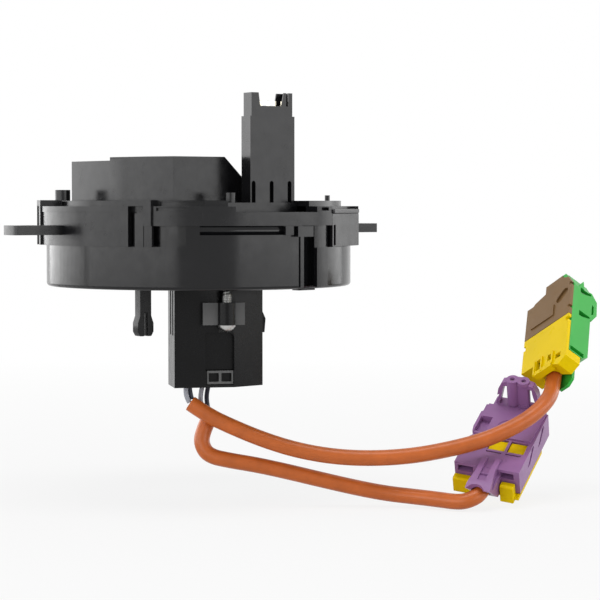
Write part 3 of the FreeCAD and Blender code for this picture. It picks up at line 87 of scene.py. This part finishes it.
# The floor: half its width and the gap below the part, in metres, then its grey and roughness
FLOOR_HALF = 4.0
FLOOR_GAP = 0.0004
FLOOR_GREY = 0.66
FLOOR_ROUGH = 0.9
# The share of the floor that is plain white, near the part and far from it, and the distances in metres
WHITE_NEAR, WHITE_FAR = 0.82, 1.0
FADE_NEAR, FADE_FAR = 0.12, 0.7

# Cords: their diameters in millimetres, then their routes as in the part's source: x across the view, y away
# from the camera, z up, in millimetres
LEAD_DIAMETER = 5.7
WIRE_DIAMETER = 1.7
LEAD_A_ROUTE = [
    (-3.2, -24.0, -64.1),
    (2.9, -25.0, -68.3),
    (11.8, -26.0, -72.5),
    (22.5, -27.0, -76.9),
    (34.6, -28.0, -80.7),
    (48.1, -29.0, -83.1),
    (62.3, -30.0, -83.7),
    (76.5, -31.0, -82.7),
    (90.0, -31.0, -80.3),
    (102.4, -30.6, -77.2),
    (112.2, -29.2, -73.2),
    (120.0, -26.6, -69.1),
    (126.0, -21.6, -64.6),
    (129.66, -14.46, -60.54),
    (131.91, -5.51, -52.18),
]
LEAD_B_ROUTE = [
    (3.1, -20.0, -70.8),
    (1.1, -21.0, -75.0),
    (0.7, -22.0, -79.2),
    (3.3, -23.0, -83.2),
    (10.8, -24.0, -84.8),
    (20.5, -24.3, -86.4),
    (31.9, -24.8, -88.9),
    (44.1, -25.0, -91.9),
    (57.1, -25.5, -94.9),
    (67.5, -26.6, -96.8),
    (77.0, -29.2, -97.6),
    (85.04, -32.96, -98.13),
    (92.37, -37.75, -98.59),
    (96.45, -38.34, -97.56),
    (99.94, -36.75, -95.83),
    (101.71, -33.67, -93.6),
]
WIRE_ROUTES = {
    "wire_loop": [(-4.6, -25.9, -57.4), (-5.4, -25.6, -60.6), (-3.6, -25.2, -63.6)],
    "wire_blue": [(-3.5, -24.4, -57.3), (-3.5, -24.2, -60.0), (-2.7, -24.0, -62.5)],
    "wire_grey": [(1.3, -20.9, -57.4), (0.2, -20.8, -61.3), (0.8, -20.4, -65.7), (2.2, -20.0, -69.6)],
    "wire_black": [(3.4, -21.0, -57.5), (2.4, -19.2, -61.3), (3.0, -18.9, -66.1), (4.0, -19.6, -70.6)],
}
WIRES_ON_A = ("wire_loop", "wire_blue")
# How finely a cord is divided along and around, and the order of its curve
CORD_STEPS = 16
CORD_ROUND_STEPS = 7
CORD_ORDER = 3

# Edge radius of each moulding, in millimetres, where its mesh has room for it
EDGE_RADII = {
    "case": 0.3,
    "cover": 0.3,
    "sensor_housing": 0.5,
    "connector_tower": 0.25,
    "side_box": 0.3,
    "side_box_lid": 0.25,
    "rotor_hub": 0.25,
    "wheel_block": 0.35,
    "block_keeper": 0.15,
    "a_housing": 0.3,
    "a_cover": 0.25,
    "a_lock": 0.3,
    "b_housing": 0.3,
    "b_lock": 0.3,
}

# Points nearer to each other than this become one, in millimetres: in the solids' meshes, and after rounding
WELD = 0.002
SLIVER = 0.0001
# Angles in degrees: below the first, two faces become one; above the second, an edge is rounded; above the
# last two, an edge shades sharply, on a moulding and on the screw
FLAT_ANGLE = 0.5
ROUNDED_ANGLE = 32
SHARP_ANGLE = 34
THREAD_SHARP_ANGLE = 50
# Faces across a rounded edge, how much a face's area counts in the shading, and the number of corners from
# which a face becomes triangles
ROUNDING_STEPS = 2
AREA_WEIGHT = 50
TOO_MANY_CORNERS = 5

# The connectors' axes, as in the part's source: the corner, then x across the face and z away from the
# cord; y goes into the face
PLUG_A = ((119.6, -3.0, -56.7), (0.5972, -0.6222, 0.5062), (0.1808, 0.7192, 0.6708))
PLUG_B = ((91.8, -27.0, -85.2), (0.8963, -0.4242, -0.1290), (0.4238, 0.7343, 0.5302))
# The part's own axes, as the view sees them
PART = ((0.0, 0.0, 0.0), (math.cos(CAMERA_TURN), -math.sin(CAMERA_TURN), 0.0), (0.0, 0.0, 1.0))


def stadium(centre, half_run, radius, degrees, steps=8):
    # a long round-ended outline, turned by an angle
    turn = math.radians(degrees)
    run = (math.sin(turn), math.cos(turn))
    side = (math.cos(turn), -math.sin(turn))
    points = []
    for end in (1, -1):
        for i in range(steps + 1):
            angle = math.pi * i / steps
            u = end * (half_run + radius * math.sin(angle))
            v = end * radius * math.cos(angle)
            points.append((centre[0] + run[0] * u + side[0] * v, centre[1] + run[1] * u + side[1] * v))
    return points


def circle(centre, radius, steps=12):
    turns = [2 * math.pi * i / steps for i in range(steps)]
    return [(centre[0] + radius * math.cos(turn), centre[1] + radius * math.sin(turn)) for turn in turns]


def box_outline(left, right, low, high):
    return [(left, low), (right, low), (right, high), (left, high)]


def round_topped(x, half, low, high, steps=6):
    # an upright slot with a half-round top
    arc = [
        (x + half * math.cos(math.pi * i / steps), high + half * math.sin(math.pi * i / steps))
        for i in range(steps + 1)
    ]
    return [(x - half, low), (x + half, low)] + arc


# Details cut from the mouldings. Each has its axes, the plane of its outline, the outline, and where it
# starts and ends across that plane, in millimetres
TOWER_SLOTS = (-0.55, 6.9, 14.35)
CUTS = {
    # the foot's slots, deeper than in the solid
    "connector_tower": [
        (PART, "xz", round_topped(x, 0.8, 8.05, 14.9), -41.5, -38.4) for x in TOWER_SLOTS
    ],
    # two latch slots, the groove beside the lock and the gap below the latch arm
    "a_housing": [
        (PLUG_A, "yz", [(5.0, 22.9), (5.0, 20.4), (6.4, 20.4), (10.4, 22.0), (10.4, 22.9)], 21.0, 25.0),
        (PLUG_A, "yz", [(5.0, 34.8), (5.0, 32.3), (6.4, 32.3), (10.4, 33.9), (10.4, 34.8)], 21.0, 25.0),
        (PLUG_A, "yz", box_outline(2.0, 8.8, 0.5, 2.5), 22.4, 25.0),
        (PLUG_A, "yz", [(11.2, 24.6), (12.2, 25.6), (12.2, 29.4), (11.2, 30.2)], 15.0, 25.0),
    ],
    # the cut corner and the sunk oval
    "a_cover": [
        (PLUG_A, "xz", [(18.8, 42.5), (18.8, 39.9), (21.0, 38.5), (23.5, 39.5), (23.5, 42.5)], -1.0, 2.0),
        (PLUG_A, "xz", stadium((19.2, 30.0), 1.8, 1.7, 50.0), -1.0, 0.9),
    ],
    # three windows
    "a_lock": [
        (PLUG_A, "xz", box_outline(8.15, 10.6, -2.2, 2.8), -1.0, 2.5),
        (PLUG_A, "xz", box_outline(14.0, 16.2, -1.0, 1.9), -1.0, 3.0),
        (PLUG_A, "xz", box_outline(18.3, 21.0, -2.4, -0.2), -1.0, 3.0),
    ],
    # the pocket, the trough in the head, the strain relief's arc and its trough
    "b_housing": [
        (PLUG_B, "xz", box_outline(1.2, 5.6, 18.5, 27.0), -2.0, 2.1),
        (PLUG_B, "xy", box_outline(12.3, 16.3, -9.9, -0.8), 35.0, 36.5),
        (PLUG_B, "xz", circle((11.9, -13.4), 3.7), -2.5, 4.0),
        (PLUG_B, "xz", box_outline(11.3, 14.3, -7.6, -4.2), -2.0, 0.1),
    ],
}
# Details added to the mouldings, written in the same way
ADDS = {
    # the tab that fills the cover's cut corner
    "a_housing": [
        (PLUG_A, "xz", [(18.9, 41.0), (18.9, 40.0), (21.0, 38.65), (21.5, 38.85), (20.35, 41.0)], 0.1, 1.8),
    ],
    # the raised line and its upright end
    "a_cover": [
        (PLUG_A, "xz", box_outline(3.2, 15.3, 22.0, 22.7), -0.45, 0.4),
        (PLUG_A, "xz", box_outline(14.5, 15.3, 22.0, 27.6), -0.45, 0.4),
    ],
    # three ribs, the collar round the cord and the foot
    "a_lock": [
        (PLUG_A, "xz", box_outline(7.0, 7.8, -4.2, 2.6), -0.6, 1.0),
        (PLUG_A, "xz", box_outline(10.8, 11.6, -4.2, 3.0), -0.6, 1.0),
        (PLUG_A, "xz", box_outline(16.5, 17.3, -3.6, 2.2), -0.6, 1.0),
        (PLUG_A, "xz", box_outline(7.0, 16.4, -4.8, -2.9), -0.4, 2.3),
        (PLUG_A, "xz", [(5.4, 2.0), (5.4, -0.5), (6.6, -4.6), (7.6, -4.6), (7.6, 2.0)], 6.6, 10.4),
    ],
}

# The block below the drum: its turn in degrees, and where grey painted light lies on its front, in its own
# millimetres: the stretches across, the stretch up, and the depth that the painted faces are in front of
BLOCK_TURN = -20.7
BOSS_PAINTED_LIGHT = ([(-3.5, 2.0), (8.4, 11.9)], (-35.8, -27.4), -30.0)
KEEPER_PAINTED_LIGHT = ([(-10.0, 20.0)], (-58.0, -50.0), -27.6)
# A face gets the grey painted light if it looks to the front by at least this much, where 1 is straight
# ahead
FRONT_FACING = 0.5

# The screw, in millimetres
SCREW_HEAD = 2.5
SCREW_PITCH = 0.7
SCREW_ROOT = 1.38
SCREW_CREST = 1.78
SCREW_TIP = 1.2
SCREW_OVERLAP = 0.2
# Steps round the screw and along one turn, how full the crest is, and the share of the radius at the tip
SCREW_STEPS = 40
STEPS_PER_TURN = 8
CREST_FULLNESS = 1.5
TIP_SHARE = 0.55

# The values that most of a noise lies between
NOISE_LOW = 0.3
NOISE_HIGH = 0.7
# How fine the surface patterns are, in waves per metre
FLOW_MARKS = 55.0
HANDLING_MARKS = 260.0
MOULD_WAVES = 120.0
MOULD_GRAIN = 5200.0
SLEEVE_TONES = 180.0
SLEEVE_SHEEN = 700.0
SLEEVE_SWELL = 240.0
SLEEVE_GRAIN = 4200.0
METAL_MARKS = 900.0
METAL_SHEEN = 1500.0
METAL_GRAIN = 2500.0
FILM_TONES = 300.0
FILM_SHEEN = 900.0
# How high they stand, in metres
WAVE_HEIGHT = 0.00006
GRAIN_HEIGHT = 0.000012
FINE_GRAIN_HEIGHT = 0.00001
RIPPLE_HEIGHT = 0.00005


def linear(red, green, blue):
    # an 8-bit screen colour as Blender's linear one
    def channel(value):
        share = value / 255.0
        return share / 12.92 if share <= 0.04045 else ((share + 0.055) / 1.055) ** 2.4

    return (channel(red), channel(green), channel(blue), 1.0)


def scaled(colour, factor):
    return tuple(c * factor for c in colour[:3]) + (1.0,)


class Nodes:
    """A short way to add and join the nodes of one material."""

    def __init__(self, name):
        self.material = bpy.data.materials.new(name)
        self.material.use_nodes = True
        self.tree = self.material.node_tree
        self.shader = self.tree.nodes["Principled BSDF"]
        self.place = self.tree.nodes.new("ShaderNodeTexCoord").outputs["Object"]

    def add(self, kind, **values):
        node = self.tree.nodes.new(kind)
        for key, value in values.items():
            if key in node.inputs:
                node.inputs[key].default_value = value
            else:
                setattr(node, key, value)
        return node

    def link(self, source, target):
        self.tree.links.new(source, target)

    def noise(self, scale, detail=3.0, rough=0.55):
        node = self.add("ShaderNodeTexNoise", Scale=scale, Detail=detail, Roughness=rough)
        self.link(self.place, node.inputs["Vector"])
        return node.outputs["Fac"]

    def range_of(self, source, low, high):
        node = self.add("ShaderNodeMapRange")
        node.inputs["From Min"].default_value = NOISE_LOW
        node.inputs["From Max"].default_value = NOISE_HIGH
        node.inputs["To Min"].default_value = low
        node.inputs["To Max"].default_value = high
        self.link(source, node.inputs["Value"])
        return node.outputs["Result"]

    def two_tone(self, factor, dark, light):
        ramp = self.add("ShaderNodeValToRGB")
        ramp.color_ramp.elements[0].color = dark
        ramp.color_ramp.elements[1].color = light
        self.link(factor, ramp.inputs["Fac"])
        return ramp.outputs["Color"]

    def tint(self, pattern, colour, dark, light):
        # a base colour that wanders between two tones of one colour
        tones = self.two_tone(self.range_of(pattern, 0.0, 1.0), scaled(colour, dark), scaled(colour, light))
        self.link(tones, self.shader.inputs["Base Color"])

    def sheen(self, pattern, low, high):
        self.link(self.range_of(pattern, low, high), self.shader.inputs["Roughness"])

    def bump(self, height, distance, strength, under=None):
        node = self.add("ShaderNodeBump", Strength=strength, Distance=distance)
        self.link(height, node.inputs["Height"])
        if under is not None:
            self.link(under, node.inputs["Normal"])
        return node.outputs["Normal"]


def moulded(name, colour, rough=0.35, variation=0.12, specular=0.5):
    # injection-moulded plastic: faint flow marks in tone and gloss, and a fine grain
    n = Nodes(name)
    n.tint(n.noise(FLOW_MARKS, detail=4.0), colour, 1.0 - variation, 1.0 + variation)
    n.sheen(n.noise(HANDLING_MARKS, detail=5.0, rough=0.65), rough - 0.05, rough + 0.07)
    waves = n.bump(n.noise(MOULD_WAVES), WAVE_HEIGHT, strength=0.25)
    grain = n.bump(n.noise(MOULD_GRAIN, detail=2.0), GRAIN_HEIGHT, strength=0.5, under=waves)
    n.link(grain, n.shader.inputs["Normal"])
    n.shader.inputs["Specular IOR Level"].default_value = specular
    return n.material


def rubbery(name, colour, rough=0.42, variation=0.1, specular=0.35):
    # extruded sleeve or wire: soft sheen, slight unevenness along it
    n = Nodes(name)
    n.tint(n.noise(SLEEVE_TONES, detail=4.0), colour, 1.0 - variation, 1.0 + variation)
    n.sheen(n.noise(SLEEVE_SHEEN, detail=3.0), rough - 0.06, rough + 0.08)
    swell = n.bump(n.noise(SLEEVE_SWELL, detail=2.0), RIPPLE_HEIGHT, strength=0.35)
    grain = n.bump(n.noise(SLEEVE_GRAIN, detail=2.0), FINE_GRAIN_HEIGHT, strength=0.4, under=swell)
    n.link(grain, n.shader.inputs["Normal"])
    n.shader.inputs["Specular IOR Level"].default_value = specular
    return n.material


def metal(name, colour, rough=0.3):
    # plated or plain metal with fine handling marks
    n = Nodes(name)
    n.tint(n.noise(METAL_MARKS, detail=5.0), colour, 0.85, 1.05)
    n.sheen(n.noise(METAL_SHEEN), rough - 0.08, rough + 0.12)
    n.link(n.bump(n.noise(METAL_GRAIN), FINE_GRAIN_HEIGHT, strength=0.3), n.shader.inputs["Normal"])
    n.shader.inputs["Metallic"].default_value = 1.0
    return n.material


def film(name, colour):
    # a smooth thin strip or sheet
    n = Nodes(name)
    n.tint(n.noise(FILM_TONES), colour, 0.9, 1.03)
    n.sheen(n.noise(FILM_SHEEN), 0.25, 0.4)
    return n.material


# What each material is made by, its colour on the screen, and how it differs from the plain one
LOOKS = {
    "case_plastic": (moulded, (13, 13, 15), {"rough": 0.15, "specular": 0.3}),
    "cover_plastic": (moulded, (15, 15, 17), {"rough": 0.22, "specular": 0.32}),
    "block_plastic": (moulded, (11, 11, 12), {"rough": 0.24, "specular": 0.16}),
    # painted light: a mid-grey that stands in for the light on the block's front faces
    "block_etched": (moulded, (88, 88, 88), {"rough": 0.5, "specular": 0.3}),
    "contact_metal": (metal, (214, 208, 190), {"rough": 0.28}),
    "screw_metal": (metal, (190, 190, 188), {}),
    "spring_steel": (metal, (150, 150, 152), {}),
    "magnet": (moulded, (48, 46, 46), {"rough": 0.5}),
    "board": (moulded, (28, 88, 48), {}),
    "ribbon": (film, (205, 198, 170), {}),
    "slip_film": (film, (225, 224, 216), {}),
    "orange_sleeve": (rubbery, (184, 94, 38), {"rough": 0.34, "specular": 0.34}),
    "wire_dark": (rubbery, (30, 34, 48), {}),
    "wire_grey": (rubbery, (150, 152, 160), {}),
    "green_plastic": (moulded, (44, 162, 58), {"rough": 0.34, "variation": 0.08, "specular": 0.25}),
    "brown_plastic": (moulded, (118, 90, 56), {"rough": 0.42, "variation": 0.08, "specular": 0.16}),
    "yellow_plastic": (moulded, (228, 196, 2), {"rough": 0.3, "variation": 0.05, "specular": 0.06}),
    "violet_plastic": (moulded, (140, 98, 146), {"rough": 0.34, "variation": 0.08, "specular": 0.3}),
}
MATERIALS = {name: make(name, linear(*colour), **look) for name, (make, colour, look) in LOOKS.items()}
SLOT_OF = {row["node"]: row["material_slot"] for row in frame["record"]["subparts"]}
BODY_OF = {node: body for body, nodes in frame["record"]["behaviour"]["bodies"].items() for node in nodes}


def dress(obj, slot):
    obj.data.materials.clear()
    obj.data.materials.append(MATERIALS[slot])


def stand_for(piece, node):
    # the piece takes the place, the body and the material of a CAD piece
    dress(piece, SLOT_OF[node])
    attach(piece, BODY_OF[node])
    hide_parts(node)
    return piece


def link(obj):
    bpy.context.scene.collection.objects.link(obj)
    return obj


def in_row(point):
    # from the view's millimetres to the row's metres
    x, y, z = point
    turned_x = x * math.cos(CAMERA_TURN) - y * math.sin(CAMERA_TURN)
    turned_y = x * math.sin(CAMERA_TURN) + y * math.cos(CAMERA_TURN)
    return Vector((turned_x, turned_y, z)) * MM


@contextmanager
def edited(mesh):
    # the mesh in the form that can be edited, written back afterwards
    bm = bmesh.new()
    bm.from_mesh(mesh)
    yield bm
    bm.to_mesh(mesh)
    bm.free()


def point_on(axes, x, y, z):
    # a point given along a connector's or the part's axes, in the row's metres
    corner, across, along = (Vector(part) for part in axes)
    across = across.normalized()
    along = (along - across * along.dot(across)).normalized()
    return in_row(corner + across * x + along.cross(across) * y + along * z)


def prism(name, axes, plane, outline, low, high):
    # a straight prism on an outline in one plane of the axes
    bm = bmesh.new()
    rings = []
    for depth in (low, high):
        ring = []
        for a, b in outline:
            place = {"xz": (a, depth, b), "yz": (depth, a, b), "xy": (a, b, depth)}[plane]
            ring.append(bm.verts.new(point_on(axes, *place)))
        rings.append(ring)
    bm.faces.new(rings[0])
    bm.faces.new(list(reversed(rings[1])))
    count = len(outline)
    for i in range(count):
        j = (i + 1) % count
        bm.faces.new((rings[0][i], rings[0][j], rings[1][j], rings[1][i]))
    bmesh.ops.recalc_face_normals(bm, faces=bm.faces)
    mesh = bpy.data.meshes.new(name)
    bm.to_mesh(mesh)
    bm.free()
    return link(bpy.data.objects.new(name, mesh))


def apply_modifiers(piece):
    # works the piece's modifiers into its mesh
    bpy.context.view_layer.update()
    evaluated = piece.evaluated_get(bpy.context.evaluated_depsgraph_get())
    final = bpy.data.meshes.new_from_object(evaluated)
    piece.modifiers.clear()
    piece.data = final


def carve(piece, node):
    # small forms added to the moulding, then those cut from it
    for shapes, operation in ((ADDS.get(node), "UNION"), (CUTS.get(node), "DIFFERENCE")):
        for index, shape in enumerate(shapes or []):
            tool = prism(f"{node}_tool_{index}", *shape)
            cut = piece.modifiers.new("carve", "BOOLEAN")
            cut.operation = operation
            cut.solver = "EXACT"
            cut.object = tool
            apply_modifiers(piece)
            bpy.data.objects.remove(tool)


def softened(node, radius):
    # a copy of a CAD piece with its small forms, and with its edges rounded as far as the mesh has room
    mesh = frame["nodes"][node].data.copy()
    mesh.name = f"{node}_soft"
    with edited(mesh) as bm:
        bmesh.ops.remove_doubles(bm, verts=bm.verts, dist=WELD * MM)
    piece = link(bpy.data.objects.new(f"{node}_soft", mesh))
    carve(piece, node)
    with edited(piece.data) as bm:
        bmesh.ops.dissolve_limit(bm, angle_limit=math.radians(FLAT_ANGLE), verts=bm.verts, edges=bm.edges)
    bevel = piece.modifiers.new("edges", "BEVEL")
    bevel.width = radius * MM
    bevel.segments = ROUNDING_STEPS
    bevel.limit_method = "ANGLE"
    bevel.angle_limit = math.radians(ROUNDED_ANGLE)
    bevel.use_clamp_overlap = True
    apply_modifiers(piece)
    close_slivers(piece.data)
    smooth_by_angle(piece.data, SHARP_ANGLE)
    # large flat faces keep their own normal, so only the edges shade softly
    weighted = piece.modifiers.new("weighted", "WEIGHTED_NORMAL")
    weighted.mode = "FACE_AREA"
    weighted.weight = AREA_WEIGHT
    weighted.keep_sharp = True
    # faces with many corners become triangles
    triangles = piece.modifiers.new("triangles", "TRIANGULATE")
    triangles.min_vertices = TOO_MANY_CORNERS
    triangles.keep_custom_normals = True
    apply_modifiers(piece)
    return stand_for(piece, node)


def close_slivers(mesh):
    # closes up the slivers that a bevel leaves where its room is short
    with edited(mesh) as bm:
        bmesh.ops.remove_doubles(bm, verts=bm.verts, dist=SLIVER * MM)
        bmesh.ops.dissolve_degenerate(bm, edges=bm.edges, dist=SLIVER * MM)
        open_edges = [edge for edge in bm.edges if len(edge.link_faces) == 1]
        if open_edges:
            bmesh.ops.holes_fill(bm, edges=open_edges)
        bmesh.ops.delete(bm, geom=[edge for edge in bm.edges if not edge.link_faces], context="EDGES")
        bmesh.ops.delete(bm, geom=[vert for vert in bm.verts if not vert.link_faces], context="VERTS")


def paint_front_light(piece, x_ranges, z_range, front):
    # the parts of a front face, in the turned block's millimetres, that get a matt grey as painted light,
    # standing in for the light these faces catch
    turn = math.radians(-BLOCK_TURN)
    piece.data.materials.append(MATERIALS["block_etched"])
    for face in piece.data.polygons:
        centre = face.center / MM
        x = centre.x * math.cos(turn) - centre.y * math.sin(turn)
        y = centre.x * math.sin(turn) + centre.y * math.cos(turn)
        facing = -(face.normal.x * math.sin(turn) + face.normal.y * math.cos(turn))
        inside = any(low < x < high for low, high in x_ranges) and z_range[0] < centre.z < z_range[1]
        if inside and y < front and facing > FRONT_FACING:
            face.material_index = 1


def smooth_by_angle(mesh, degrees):
    # soft shading, apart from the edges that are sharper than the angle
    angle = math.radians(degrees)
    with edited(mesh) as bm:
        for face in bm.faces:
            face.smooth = True
        for edge in bm.edges:
            sharp = len(edge.link_faces) != 2 or edge.calc_face_angle(0.0) > angle
            edge.smooth = not sharp


def thread_radius(z, turn, top):
    # a rolled thread, drawn in to a blunt tip over its last part
    phase = (z / SCREW_PITCH - turn) % 1.0
    flank = 1.0 - abs(2.0 * phase - 1.0)
    radius = SCREW_ROOT + (SCREW_CREST - SCREW_ROOT) * min(1.0, CREST_FULLNESS * flank)
    left = (top - z) / SCREW_TIP
    return radius if left > 1.0 else radius * (TIP_SHARE + (1.0 - TIP_SHARE) * max(left, 0.0))


def threaded_screw(node):
    # the CAD head with its cross recess, and a shank with a real thread in place of the plain one
    low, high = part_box(node)
    seat = low[2] + SCREW_HEAD * MM
    centre_x = (low[0] + high[0]) / 2.0
    centre_y = (low[1] + high[1]) / 2.0
    bm = bmesh.new()
    bm.from_mesh(frame["nodes"][node].data)
    bmesh.ops.remove_doubles(bm, verts=bm.verts, dist=WELD * MM)
    whole = list(bm.verts) + list(bm.edges) + list(bm.faces)
    cut = bmesh.ops.bisect_plane(bm, geom=whole, plane_co=(0, 0, seat), plane_no=(0, 0, 1), clear_outer=True)
    rim = [e for e in cut["geom_cut"] if isinstance(e, bmesh.types.BMEdge)]
    bmesh.ops.holes_fill(bm, edges=rim)
    rings = []
    z = seat / MM - SCREW_OVERLAP
    top = high[2] / MM
    while z < top:
        ring = []
        for i in range(SCREW_STEPS):
            turn = i / SCREW_STEPS
            radius = thread_radius(z, turn, top) * MM
            angle = 2.0 * math.pi * turn
            place = (centre_x + radius * math.cos(angle), centre_y + radius * math.sin(angle), z * MM)
            ring.append(bm.verts.new(place))
        rings.append(ring)
        z += SCREW_PITCH / STEPS_PER_TURN
    for lower, upper in zip(rings, rings[1:]):
        for i in range(SCREW_STEPS):
            j = (i + 1) % SCREW_STEPS
            bm.faces.new((lower[i], lower[j], upper[j], upper[i]))
    bm.faces.new(list(reversed(rings[0])))
    bm.faces.new(rings[-1])
    mesh = bpy.data.meshes.new("lock_screw_threaded")
    bm.to_mesh(mesh)
    bm.free()
    smooth_by_angle(mesh, THREAD_SHARP_ANGLE)
    stand_for(link(bpy.data.objects.new("lock_screw_threaded", mesh)), node)


def cord_curve(name, route, diameter):
    curve = bpy.data.curves.new(name, "CURVE")
    curve.dimensions = "3D"
    curve.resolution_u = CORD_STEPS
    curve.bevel_depth = diameter * MM / 2.0
    curve.bevel_resolution = CORD_ROUND_STEPS
    curve.use_fill_caps = True
    spline = curve.splines.new("NURBS")
    spline.points.add(len(route) - 1)
    for target, point in zip(spline.points, route):
        target.co = (*in_row(point), 1.0)
    spline.order_u = CORD_ORDER
    spline.use_endpoint_u = True
    return link(bpy.data.objects.new(name, curve))


def make_cord(name, node, route, diameter):
    return stand_for(cord_curve(name, route, diameter), node)


def make_camera():
    toward = Vector((math.sin(CAMERA_TURN), -math.cos(CAMERA_TURN), 0.0))
    data = bpy.data.cameras.new("camera")
    data.lens = CAMERA_LENS
    data.sensor_width = CAMERA_SENSOR
    data.clip_start = CAMERA_NEAR
    camera = link(bpy.data.objects.new("camera", data))
    camera.location = toward * CAMERA_DISTANCE + Vector((0, 0, CAMERA_HEIGHT))
    aim = Vector(CAMERA_AIM) - camera.location
    camera.rotation_euler = aim.to_track_quat("-Z", "Y").to_euler()
    bpy.context.scene.camera = camera


def area_light(name, azimuth, elevation, distance, size, power):
    turn = CAMERA_TURN + math.radians(azimuth)
    up = math.radians(elevation)
    out = Vector((math.sin(turn) * math.cos(up), -math.cos(turn) * math.cos(up), math.sin(up)))
    data = bpy.data.lights.new(name, "AREA")
    data.shape = "RECTANGLE"
    data.size = size[0]
    data.size_y = size[1]
    data.energy = power
    lamp = link(bpy.data.objects.new(name, data))
    lamp.location = out * distance + Vector(LIGHTS_AIM)
    lamp.rotation_euler = (-out).to_track_quat("-Z", "Y").to_euler()


def seen_directly(tree):
    # 1 for camera, mirror and glass rays, 0 for the light that falls on the part
    path = tree.nodes.new("ShaderNodeLightPath")
    either = tree.nodes.new("ShaderNodeMath")
    either.operation = "MAXIMUM"
    tree.links.new(path.outputs["Is Camera Ray"], either.inputs[0])
    tree.links.new(path.outputs["Is Glossy Ray"], either.inputs[1])
    both = tree.nodes.new("ShaderNodeMath")
    both.operation = "MAXIMUM"
    tree.links.new(either.outputs[0], both.inputs[0])
    tree.links.new(path.outputs["Is Transmission Ray"], both.inputs[1])
    return both.outputs[0]


def make_world():
    world = bpy.data.worlds.new("studio")
    bpy.context.scene.world = world
    world.use_nodes = True
    tree = world.node_tree
    light = tree.nodes["Background"]
    light.inputs["Color"].default_value = WHITE
    light.inputs["Strength"].default_value = WORLD_LIGHT
    seen = tree.nodes.new("ShaderNodeBackground")
    seen.inputs["Color"].default_value = WHITE
    seen.inputs["Strength"].default_value = WORLD_SEEN
    mix = tree.nodes.new("ShaderNodeMixShader")
    tree.links.new(seen_directly(tree), mix.inputs[0])
    tree.links.new(light.outputs[0], mix.inputs[1])
    tree.links.new(seen.outputs[0], mix.inputs[2])
    tree.links.new(mix.outputs[0], tree.nodes["World Output"].inputs["Surface"])


def make_floor():
    low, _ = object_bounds()
    mesh = bpy.data.meshes.new("floor")
    signs = [(-1, -1), (1, -1), (1, 1), (-1, 1)]
    corners = [(x * FLOOR_HALF, y * FLOOR_HALF) for x, y in signs]
    mesh.from_pydata([(x, y, low[2] - FLOOR_GAP) for x, y in corners], [], [(0, 1, 2, 3)])
    floor = link(bpy.data.objects.new("floor", mesh))
    material = bpy.data.materials.new("floor")
    material.use_nodes = True
    tree = material.node_tree
    base = tree.nodes["Principled BSDF"]
    base.inputs["Base Color"].default_value = scaled(WHITE, FLOOR_GREY)
    base.inputs["Roughness"].default_value = FLOOR_ROUGH
    glow = tree.nodes.new("ShaderNodeEmission")
    glow.inputs["Strength"].default_value = 1.0
    # the floor fades into the white surroundings away from the part
    place = tree.nodes.new("ShaderNodeTexCoord")
    away = tree.nodes.new("ShaderNodeVectorMath")
    away.operation = "LENGTH"
    tree.links.new(place.outputs["Object"], away.inputs[0])
    fade = tree.nodes.new("ShaderNodeMapRange")
    fade.inputs["From Min"].default_value = FADE_NEAR
    fade.inputs["From Max"].default_value = FADE_FAR
    fade.inputs["To Min"].default_value = WHITE_NEAR
    fade.inputs["To Max"].default_value = WHITE_FAR
    tree.links.new(away.outputs["Value"], fade.inputs["Value"])
    share = tree.nodes.new("ShaderNodeMath")
    share.operation = "MULTIPLY"
    tree.links.new(seen_directly(tree), share.inputs[0])
    tree.links.new(fade.outputs["Result"], share.inputs[1])
    mix = tree.nodes.new("ShaderNodeMixShader")
    tree.links.new(share.outputs[0], mix.inputs[0])
    tree.links.new(base.outputs[0], mix.inputs[1])
    tree.links.new(glow.outputs[0], mix.inputs[2])
    tree.links.new(mix.outputs[0], tree.nodes["Material Output"].inputs["Surface"])
    mesh.materials.append(material)


# Every CAD piece gets its material. The mouldings are then replaced by softened ones, the screw by a
# threaded one, and the sleeves and wires by curves
for node, obj in frame["nodes"].items():
    dress(obj, SLOT_OF[node])
soft = {node: softened(node, radius) for node, radius in EDGE_RADII.items()}
# painted light: grey on the front faces of the boss and the keeper, in place of the light they catch
paint_front_light(soft["wheel_block"], *BOSS_PAINTED_LIGHT)
paint_front_light(soft["block_keeper"], *KEEPER_PAINTED_LIGHT)
threaded_screw("lock_screw")

wires = {node: make_cord(f"{node}_run", node, route, WIRE_DIAMETER) for node, route in WIRE_ROUTES.items()}
lead_a = make_cord("lead_a", "lead_a_sleeve", LEAD_A_ROUTE, LEAD_DIAMETER)
lead_b = make_cord("lead_b", "lead_b_sleeve", LEAD_B_ROUTE, LEAD_DIAMETER)
on_a = [soft["a_housing"], soft["a_cover"], soft["a_lock"], frame["nodes"]["a_contacts"]]
on_a += [wires[name] for name in WIRES_ON_A]
on_b = [soft["b_housing"], soft["b_lock"], frame["nodes"]["b_contacts"]]
on_b += [wires[name] for name in WIRE_ROUTES if name not in WIRES_ON_A]

make_camera()
make_world()
make_floor()
for light in LIGHTS:
    area_light(*light)
bpy.context.scene.view_settings.view_transform = "Standard"
